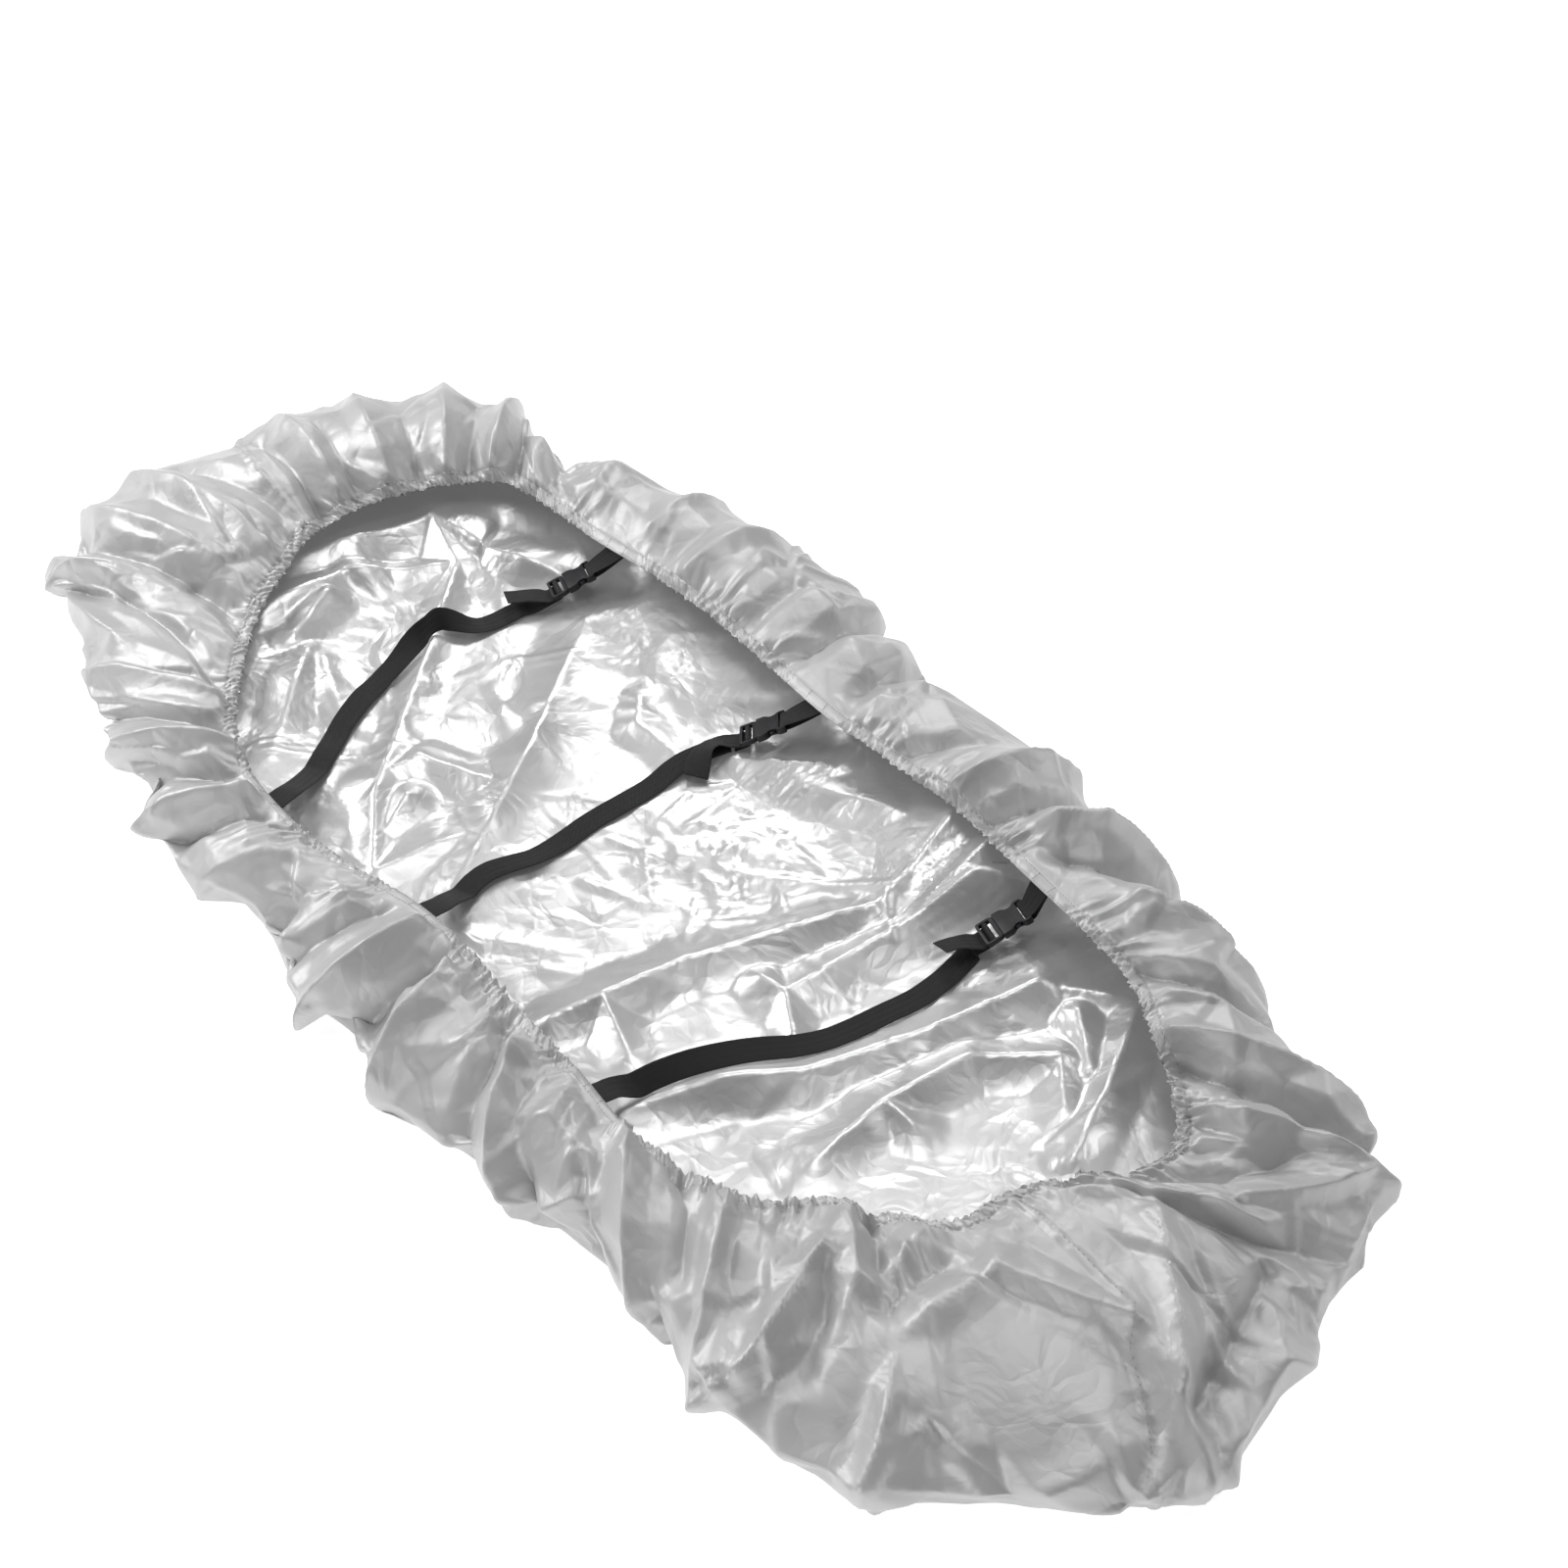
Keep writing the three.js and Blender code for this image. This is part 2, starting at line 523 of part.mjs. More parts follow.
// A flat strap swept through points that each have a direction across the webbing.
// Both faces are split along the same diagonals, so they stay apart where it twists.
function webSolid(stops) {
  const points = [];
  const faces = [];
  stops.forEach(({ place, side }, i) => {
    const along = (stops[i + 1] ?? stops[i]).place.clone().sub((stops[i - 1] ?? stops[i]).place).normalize();
    const up = new THREE.Vector3().crossVectors(side, along).normalize();
    for (const [s, t] of [[-1, -1], [1, -1], [1, 1], [-1, 1]]) {
      points.push(place.clone().addScaledVector(side, (s * WEB_WIDTH) / 2)
        .addScaledVector(up, (t * WEB_THICK) / 2));
    }
  });
  const last = (stops.length - 1) * 4;
  for (let ring = 0; ring < last; ring += 4) {
    for (const [k, next] of [[0, 1], [1, 2], [3, 0]]) {
      faces.push([ring + k, ring + 4 + next, ring + next], [ring + k, ring + 4 + k, ring + 4 + next]);
    }
    faces.push([ring + 2, ring + 6, ring + 3], [ring + 3, ring + 6, ring + 7]);
  }
  faces.push([0, 1, 2], [0, 2, 3], [last, last + 2, last + 1], [last, last + 3, last + 2]);
  return geometryOf({ points, faces });
}

const UP = new THREE.Vector3(0, 0, 1);

function turnedSide(along, degrees) {
  const flat = new THREE.Vector3().crossVectors(along, UP).normalize();
  return flat.applyAxisAngle(along.clone().normalize(), THREE.MathUtils.degToRad(degrees));
}

// A route's stops, lifted where the webbing would sink into the sheet that it lies on
function laidStops(rows, before, after) {
  const places = [before, ...rows.map((row) => new THREE.Vector3(row.x, row.y, row.z)), after];
  return rows.map((row, i) => {
    const along = places[i + 2].clone().sub(places[i]).setZ(0).normalize();
    const side = turnedSide(along, row.turn);
    let lowest = row.z;
    for (const s of [-1, -0.5, 0, 0.5, 1]) {
      for (const t of [-14, -7, 0, 7, 14]) {
        const arm = side.clone().multiplyScalar((s * WEB_WIDTH) / 2);
        const spot = places[i + 1].clone().add(arm).addScaledVector(along, t);
        const top = Math.max(0, ...skinHeights(floorTop, spot.x, spot.y));
        lowest = Math.max(lowest, top + REST_GAP + WEB_THICK / 2 - arm.z);
      }
    }
    return { place: places[i + 1].setZ(lowest), side };
  });
}

// Where webbing is sewn under the hem: two stops, the outer one deeper under the rim.
// Both hang just clear of the cloth above them over the whole width of the webbing.
function seatStops(section, layer) {
  const drop = SEAT_GAP + SEAT_SPARE + WEB_THICK / 2 + layer * (WEB_THICK + SEAT_GAP);
  const round = rimBase(section + 0.1, 0).sub(rimBase(section - 0.1, 0)).normalize();
  const edge = rimBase(section, SEAT_EDGE);
  const down = rimBase(section, SEAT_DEEP).sub(edge).cross(round).negate().normalize();
  const slope = new THREE.Vector3().crossVectors(down, round);
  const deep = edge.clone().addScaledVector(slope, SEAT_LENGTH);
  let sink = SHEET_THICK / 2;
  for (const spot of [deep, edge]) {
    for (const s of [-1, -0.5, 0, 0.5, 1]) {
      for (const t of [-2, 0, 2, 4]) {
        const under = spot.clone().addScaledVector(round, (s * WEB_WIDTH) / 2).addScaledVector(slope, t);
        const heights = skinHeights(rimUnder, under.x, under.y);
        if (heights.length) sink = Math.max(sink, (under.z - Math.min(...heights)) * -down.z);
      }
    }
  }
  return [deep, edge].map((spot) => ({ place: spot.addScaledVector(down, sink + drop), side: round }));
}

// The buckle's own directions: along it from the plug's end, across it, and out of its face
function buckleFrame(strap) {
  const start = new THREE.Vector3(...strap.plug_end);
  const along = new THREE.Vector3(...strap.socket_end).sub(start).normalize();
  const across = turnedSide(along, strap.buckle_turn);
  const out = new THREE.Vector3().crossVectors(across, along);
  const at = (u, w) => start.clone().addScaledVector(along, u).addScaledVector(out, w);
  const matrix = new THREE.Matrix4().makeBasis(along, across.clone().negate(), out).setPosition(start);
  return { along, across, at, matrix };
}

// Buckle sizes: u runs along the buckle from the plug's outer end, v across it, w out of its face
const BUCKLE = {
  length: 60, half_width: 19, slot_half: 15.6, bar_radius: 1.5, bar_at: 10, frame_end: 17, frame_half_thick: 3,
  body_end: 22, socket_start: 22.4, socket_half_thick: 4.5, cavity_half: 15.2, cavity_half_thick: 2.4,
  cavity_end: 49, slot_start: 51.5, slot_end: 55.5, end_bar_half_thick: 2.1,
};
const BAR_WRAP = BUCKLE.bar_radius + WEB_THICK / 2 + SEAT_GAP + 0.1;
const LOWER_LAYER = -7.2;
const UPPER_LAYER = -4.1;

function longWeb(strap) {
  const buckle = buckleFrame(strap);
  const seat = seatStops(strap.left_section, 0);
  const inBuckle = (u, w) => ({ place: buckle.at(u, w), side: buckle.across });
  const wrap = [-20, 20, 55, 90, 125, 160, 200].map((degrees) => {
    const angle = THREE.MathUtils.degToRad(degrees);
    return inBuckle(BUCKLE.bar_at + BAR_WRAP * Math.cos(angle), BAR_WRAP * Math.sin(angle));
  });
  const lower = [[-14, LOWER_LAYER], [-4, LOWER_LAYER], [8, LOWER_LAYER], [11.2, -5.4], [12.8, -3.2]];
  const upper = [[6, -2.8], [4, UPPER_LAYER], [0, UPPER_LAYER], [-5, UPPER_LAYER]];
  const run = laidStops(strap.route, seat[1].place, buckle.at(-14, LOWER_LAYER));
  const tail = strap.tail.map((row, i) => {
    const before = i ? strap.tail[i - 1] : { x: buckle.at(-5, 0).x, y: buckle.at(-5, 0).y };
    const back = new THREE.Vector3(before.x - row.x, before.y - row.y, 0);
    return { place: new THREE.Vector3(row.x, row.y, row.z), side: turnedSide(back, row.turn) };
  });
  const flip = (stop) => ({ place: stop.place, side: stop.side.clone().negate() });
  const stops = [
    ...seat, ...run, ...lower.map(([u, w]) => inBuckle(u, w)), ...wrap,
    ...upper.map(([u, w]) => inBuckle(u, w)), ...tail,
  ];
  return webSolid(stops.map((stop) => (stop.side.dot(buckle.across) < 0 ? flip(stop) : stop)));
}

function shortWeb(strap) {
  const buckle = buckleFrame(strap);
  const inBuckle = (u, w) => ({ place: buckle.at(u, w), side: buckle.across });
  const toBuckle = ({ place, side }) => ({
    place, side: side.dot(buckle.across) < 0 ? side.clone().negate() : side,
  });
  const near = BUCKLE.end_bar_half_thick + WEB_THICK / 2 + SEAT_GAP + 0.1;
  const loop = [[63, near], [60.5, near], [56, near], [54, 2.5], [53.5, 0], [54, -2.5],
    [56, -near], [60.5, -near], [63, -near]];
  const top = seatStops(strap.right_section, 0).map(toBuckle);
  const low = seatStops(strap.right_section, 1).map(toBuckle);
  return webSolid([...top, ...loop.map(([u, w]) => inBuckle(u, w)), ...low.reverse()]);
}

function solidOf(geometry) {
  const bare = geometry.clone();
  bare.deleteAttribute('normal');
  bare.deleteAttribute('uv');
  const merged = mergeVertices(bare, 1e-4);
  return new manifold.Manifold(new manifold.Mesh({
    numProp: 3,
    vertProperties: new Float32Array(merged.attributes.position.array),
    triVerts: new Uint32Array(merged.index.array),
  }));
}

function geometryFromSolid(solid) {
  const mesh = solid.getMesh();
  const geometry = new THREE.BufferGeometry();
  geometry.setAttribute('position', new THREE.BufferAttribute(mesh.vertProperties, 3));
  geometry.setIndex(new THREE.BufferAttribute(mesh.triVerts, 1));
  return geometry;
}

function block([u0, u1], [v0, v1], [w0, w1]) {
  const geometry = new THREE.BoxGeometry(u1 - u0, v1 - v0, w1 - w0);
  return solidOf(geometry.translate((u0 + u1) / 2, (v0 + v1) / 2, (w0 + w1) / 2));
}

// A plate with the outline of one half, mirrored across the buckle's middle line
function plate(halfOutline, halfThick) {
  const outline = [...halfOutline, ...halfOutline.map(([u, v]) => [u, -v]).reverse()];
  const shape = new THREE.Shape(outline.map(([u, v]) => new THREE.Vector2(u, v)));
  const geometry = new THREE.ExtrudeGeometry(shape, { depth: halfThick * 2, bevelEnabled: false });
  return solidOf(geometry.translate(0, 0, -halfThick));
}

function plugGeometry() {
  const b = BUCKLE;
  const both = [-1, 1];
  const body = plate([[0, b.half_width - 2.5], [1.2, b.half_width - 0.7], [3, b.half_width],
    [b.frame_end, b.half_width], [b.body_end, b.half_width - 2]], b.frame_half_thick);
  const window = block([3.5, b.frame_end], [-b.slot_half, b.slot_half], [-9, 9]);
  const bar = solidOf(new THREE.CylinderGeometry(b.bar_radius, b.bar_radius, b.slot_half * 2 + 1, 12)
    .translate(b.bar_at, 0, 0));
  let plug = body.subtract(window).add(bar).add(block([20, 41], [-2.2, 2.2], [-1.6, 1.6]));
  for (const side of both) {
    const arm = new THREE.Shape([[21, 9.5], [45, 10.5], [47, 12.5], [46, 14.6], [43, 16.8], [39, 16.8],
      [38, 13.6], [21, 13.4]].map(([u, v]) => new THREE.Vector2(u, v * side)));
    const prong = new THREE.ExtrudeGeometry(arm, { depth: 3.6, bevelEnabled: false });
    plug = plug.add(solidOf(prong.translate(0, 0, -1.8)));
  }
  return geometryFromSolid(plug);
}

function socketGeometry() {
  const b = BUCKLE;
  const shell = plate([[b.socket_start, b.half_width], [33, b.half_width - 0.2], [36, b.half_width - 2],
    [39, b.half_width - 4.4], [43, b.half_width - 5], [47, b.half_width - 4], [50, b.half_width - 1.6],
    [53, b.half_width - 0.6], [b.length - 1.6, b.half_width - 1], [b.length, b.half_width - 3]],
  b.socket_half_thick);
  const cavity = block([0, b.cavity_end], [-b.cavity_half, b.cavity_half],
    [-b.cavity_half_thick, b.cavity_half_thick]);
  const notches = block([37, 47.6], [-30, 30], [-b.cavity_half_thick, b.cavity_half_thick]);
  const slot = block([b.slot_start, b.slot_end], [-b.slot_half, b.slot_half], [-9, 9]);
  const thinTop = block([b.slot_start, 90], [-b.slot_half, b.slot_half], [b.end_bar_half_thick, 9]);
  const thinUnder = block([b.slot_start, 90], [-b.slot_half, b.slot_half], [-9, -b.end_bar_half_thick]);
  const socket = shell.subtract(cavity).subtract(notches).subtract(slot).subtract(thinTop)
    .subtract(thinUnder);
  return geometryFromSolid(socket);
}

const CLOTH_FINISH = { color: 0xc9cacb, roughness: 0.5, metalness: 0.15 };
const WEB_FINISH = { color: 0x17181a, roughness: 0.85, metalness: 0 };
const BUCKLE_FINISH = { color: 0x2a2b2d, roughness: 0.45, metalness: 0 };

function named(name, geometry, finish) {
  const mesh = new THREE.Mesh(geometry, new THREE.MeshStandardMaterial(finish));
  mesh.name = name;
  return mesh;
}

const cover = new THREE.Group();
cover.add(named('cover', geometryOf(cloth), CLOTH_FINISH));
for (const strap of STRAPS) {
  const { matrix } = buckleFrame(strap);
  cover.add(named(`strap_${strap.number}_long`, longWeb(strap), WEB_FINISH));
  cover.add(named(`strap_${strap.number}_short`, shortWeb(strap), WEB_FINISH));
  cover.add(named(`buckle_${strap.number}_plug`, plugGeometry().applyMatrix4(matrix), BUCKLE_FINISH));
  cover.add(named(`buckle_${strap.number}_socket`, socketGeometry().applyMatrix4(matrix), BUCKLE_FINISH));
}
cover.position.copy(PLAN_SHIFT);

export default cover;
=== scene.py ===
import math

import bmesh
import bpy
import numpy as np
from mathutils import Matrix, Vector, geometry
from mathutils.bvhtree import BVHTree
from mathutils.kdtree import KDTree


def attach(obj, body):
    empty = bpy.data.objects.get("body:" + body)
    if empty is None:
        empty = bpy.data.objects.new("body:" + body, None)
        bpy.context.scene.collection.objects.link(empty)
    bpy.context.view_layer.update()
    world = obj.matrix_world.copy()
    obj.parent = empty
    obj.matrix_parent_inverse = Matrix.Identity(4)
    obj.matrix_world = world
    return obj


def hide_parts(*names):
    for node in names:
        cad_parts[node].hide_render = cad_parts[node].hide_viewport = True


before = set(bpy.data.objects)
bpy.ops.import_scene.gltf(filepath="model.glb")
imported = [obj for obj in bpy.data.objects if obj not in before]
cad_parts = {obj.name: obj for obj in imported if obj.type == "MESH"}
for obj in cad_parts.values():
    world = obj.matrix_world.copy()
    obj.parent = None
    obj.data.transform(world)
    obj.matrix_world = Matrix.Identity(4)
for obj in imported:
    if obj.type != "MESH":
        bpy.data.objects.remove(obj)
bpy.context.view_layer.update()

# Camera, lights and room.
# The cover is seen from 45 degrees above its near end. A large soft light stands behind it, so
# that the silver side mirrors it, and smaller ones fill in from the left, the right, above and the front.
MM = 0.001
scene = bpy.context.scene
scene.view_settings.view_transform = "Standard"


def srgb(text):
    """A hex colour as linear red, green, blue and alpha."""
    parts = [int(text[i : i + 2], 16) / 255 for i in (0, 2, 4)]
    return [p / 12.92 if p <= 0.04045 else ((p + 0.055) / 1.055) ** 2.4 for p in parts] + [1.0]


def aimed(thing, place, target):
    thing.location = place
    thing.rotation_euler = (Vector(target) - Vector(place)).to_track_quat("-Z", "Y").to_euler()
    scene.collection.objects.link(thing)


camera_data = bpy.data.cameras.new("camera")
camera_data.lens = 67.5
camera_data.sensor_width = 36
camera_data.clip_end = 30
camera = bpy.data.objects.new("camera", camera_data)
aimed(camera, (1.8298, -1.4796, 2.495), (-0.0242, 0.1894, 0))
scene.camera = camera


def soft_light(name, place, size, watts, target=(0, 0, 0)):
    data = bpy.data.lights.new(name, "AREA")
    data.shape = "RECTANGLE"
    data.size, data.size_y = size
    data.energy = watts
    aimed(bpy.data.objects.new(name, data), place, target)


soft_light("back_light", (-2.3, 2.3, 2.5), (1.5, 1.0), 32)
soft_light("left_light", (-2.6, -1.0, 2.0), (1.5, 1.2), 54)
soft_light("right_light", (1.6, 2.3, 1.7), (1.0, 1.2), 14)
soft_light("top_light", (-0.1, 0.7, 3.4), (1.2, 1.2), 19)
soft_light("front_light", (1.2, -2.5, 0.9), (1.6, 0.8), 15)

# The room is bright above and behind the cover, and dim behind the camera
world = bpy.data.worlds.new("studio")
world.use_nodes = True
room = world.node_tree
toward = room.nodes.new("ShaderNodeTexCoord")
height = room.nodes.new("ShaderNodeVectorMath")
height.operation = "DOT_PRODUCT"
height.inputs[1].default_value = (-0.45, 0.5, 0.74)
shade = room.nodes.new("ShaderNodeValToRGB")
shade.color_ramp.elements[0].position = 0.1
shade.color_ramp.elements[0].color = (0.125, 0.125, 0.125, 1)
shade.color_ramp.elements[1].position = 0.85
shade.color_ramp.elements[1].color = (0.34, 0.34, 0.34, 1)
room.links.new(toward.outputs["Generated"], height.inputs[0])
room.links.new(height.outputs["Value"], shade.inputs["Fac"])
room.links.new(shade.outputs["Color"], room.nodes["Background"].inputs["Color"])
scene.world = world

# Materials of the cover's cloth.
# Silver-grey polyester taffeta outside, coated with bright silver inside. Both are drawn with soft
# creases of one to four centimetres that are too fine for the mesh. Its threads are too fine to show.


def add(tree, kind, sockets=None, **settings):
    """Adds a node with its settings. Sockets get a value, or a link when they are given a socket."""
    node = tree.nodes.new(kind)
    for name, value in settings.items():
        setattr(node, name, value)
    for name, value in (sockets or {}).items():
        if isinstance(value, bpy.types.NodeSocket):
            tree.links.new(value, node.inputs[name])
        else:
            node.inputs[name].default_value = value
    return node


def material(name):
    """A new material, its node tree and its shader."""
    made = bpy.data.materials.new(name)
    made.use_nodes = True
    return made, made.node_tree, made.node_tree.nodes["Principled BSDF"]


def ramp(tree, factor, low, high, spread=(0.35, 0.65)):
    """A colour between two hex colours."""
    node = add(tree, "ShaderNodeValToRGB", {"Fac": factor})
    for stop, place, text in zip(node.color_ramp.elements, spread, (low, high)):
        stop.position = place
        stop.color = srgb(text)
    return node.outputs["Color"]


def creased(tree, coordinates, large, small):
    """Bump of flat facets at two sizes, with slopes large and small."""
    bent = add(tree, "ShaderNodeTexNoise", {"Vector": coordinates, "Scale": 9.0, "Detail": 2.0})
    mixed = {"Fac": 0.09, "Color1": coordinates, "Color2": bent.outputs["Color"]}
    moved = add(tree, "ShaderNodeMixRGB", mixed, blend_type="ADD").outputs["Color"]
    normal = None
    for scale, slope in ((17.0, large), (52.0, small)):
        cell = {"Vector": moved, "Scale": scale}
        cells = add(tree, "ShaderNodeTexVoronoi", cell, feature="DISTANCE_TO_EDGE")
        sockets = {"Height": cells.outputs["Distance"], "Distance": slope / scale, "Strength": 1.0}
        if normal:
            sockets["Normal"] = normal
        normal = add(tree, "ShaderNodeBump", sockets).outputs["Normal"]
    return normal


def cloth(name, blotches, colours, roughness, slopes, metallic):
    """A creased cloth in blotches of two near colours, between two roughnesses."""
    made, tree, shader = material(name)
    where = add(tree, "ShaderNodeTexCoord").outputs["Object"]
    noise = {"Vector": where, "Scale": blotches, "Detail": 2.0}
    cloudy = add(tree, "ShaderNodeTexNoise", noise).outputs["Fac"]
    tree.links.new(ramp(tree, cloudy, *colours), shader.inputs["Base Color"])
    rough = {"Value": cloudy, "To Min": roughness[0], "To Max": roughness[1]}
    worn = add(tree, "ShaderNodeMapRange", rough)
    tree.links.new(worn.outputs["Result"], shader.inputs["Roughness"])
    tree.links.new(creased(tree, where, *slopes), shader.inputs["Normal"])
    shader.inputs["Metallic"].default_value = metallic
    return made, shader


# Polyester taffeta: a satin, slightly metallic grey whose folds go from pale to mid grey
taffeta_look = ("C3C3C3", "CBCBCB"), (0.45, 0.52), (0.06, 0.035), 0.35
polyester_taffeta = cloth("polyester_taffeta", 9.0, *taffeta_look)[0]

# Silver coating: a smooth metal-filled film, so it mirrors the lights as soft bright bands
silver_look = ("CECECE", "D8D8D8"), (0.3, 0.4), (0.035, 0.03), 0.8
silver_coating, shader = cloth("silver_coating", 12.0, *silver_look)
# Painted light: a faint white glow on the silver, so that it looks bright all over, also where it lies in
# shade
shader.inputs["Emission Color"].default_value = srgb("F2F2F2")
shader.inputs["Emission Strength"].default_value = 0.05

# The cover's cloth.
# One light coated polyester sheet, matt silver-grey outside and shiny silver inside, sewn to a
# boat's form and drawn in at its open edge. The middle lies on the floor, the rim stands up round
# it, turns over a soft crest and falls to the hem.
SECTIONS = 40
PLAN_SHIFT = np.array([-59.2, -14.6, 0.0])
LYING_HEIGHT = 1.0
FOOT_HEIGHT = LYING_HEIGHT + 1.5
TURN = 6.28  # about a full turn in radians


def table(names, rows):
    """Rows of numbers under named columns."""
    return {name: np.array(values, float) for name, values in zip(names.split(), zip(*rows))}


# Sections round the cover in mm: where the hem hangs, where the cloth turns under on the floor,
# and how high the rim puffs between the two. Nearly all places of the hem and of the floor's folds,
# and an uncounted part of the rest, were read off the photograph and turned into mm, sections
# and ways with an estimated camera. Heights and widths are estimates.
rim_rows = table(
    "hem_x hem_y hem_z foot_x foot_y crest_z crest_at bulge",
    [
        (-648, 10, 70, -905, -5, 112, 0.5, 0.04),
        (-617, -52, 68, -900, -105, 104, 0.5, 0.04),
        (-582, -112, 66, -848, -224, 92, 0.5, 0.05),
        (-536, -166, 65, -790, -258, 84, 0.45, 0.05),
        (-487, -212, 64, -680, -298, 84, 0.42, 0.06),
        (-430, -256, 62, -586, -342, 80, 0.42, 0.08),
        (-360, -286, 60, -480, -364, 76, 0.42, 0.1),
        (-270, -297, 60, -335, -408, 76, 0.4, 0.1),
        (-170, -292, 60, -215, -388, 76, 0.4, 0.1),
        (-60, -271, 62, -85, -424, 78, 0.4, 0.06),
        (40, -269, 62, 35, -412, 78, 0.4, 0.08),
        (145, -280, 60, 145, -430, 76, 0.4, 0.08),
        (250, -287, 60, 265, -420, 76, 0.4, 0.08),
        (350, -298, 60, 385, -410, 78, 0.4, 0.08),
        (435, -284, 62, 500, -404, 80, 0.4, 0.08),
        (507, -258, 62, 620, -426, 82, 0.42, 0.06),
        (560, -200, 62, 765, -408, 84, 0.45, 0.05),
        (612, -168, 58, 872, -325, 86, 0.45, 0.05),
        (662, -128, 60, 968, -240, 88, 0.45, 0.05),
        (676, -62, 62, 1016, -130, 90, 0.45, 0.04),
        (705, 5, 64, 990, 12, 90, 0.45, 0.04),
        (740, 55, 60, 958, 112, 84, 0.45, 0.04),
        (748, 105, 60, 922, 225, 78, 0.45, 0.04),
        (706, 152, 62, 868, 276, 84, 0.5, 0.05),
        (640, 194, 66, 765, 304, 86, 0.55, 0.07),
        (565, 234, 68, 650, 338, 88, 0.58, 0.08),
        (470, 251, 70, 535, 368, 90, 0.6, 0.08),
        (370, 263, 70, 410, 396, 92, 0.6, 0.08),
        (262, 276, 70, 286, 420, 95, 0.6, 0.08),
        (150, 275, 70, 170, 424, 96, 0.6, 0.1),
        (40, 270, 70, 50, 430, 98, 0.6, 0.1),
        (-75, 278, 70, -80, 456, 102, 0.6, 0.1),
        (-190, 285, 70, -200, 458, 103, 0.6, 0.1),
        (-300, 282, 70, -330, 446, 101, 0.6, 0.1),
        (-400, 272, 70, -450, 414, 98, 0.6, 0.1),
        (-490, 267, 72, -545, 352, 96, 0.6, 0.12),
        (-560, 258, 72, -640, 362, 104, 0.55, 0.1),
        (-598, 218, 72, -745, 352, 110, 0.52, 0.08),
        (-630, 158, 72, -822, 260, 114, 0.5, 0.06),
        (-650, 85, 72, -872, 132, 114, 0.5, 0.05),
    ],
)

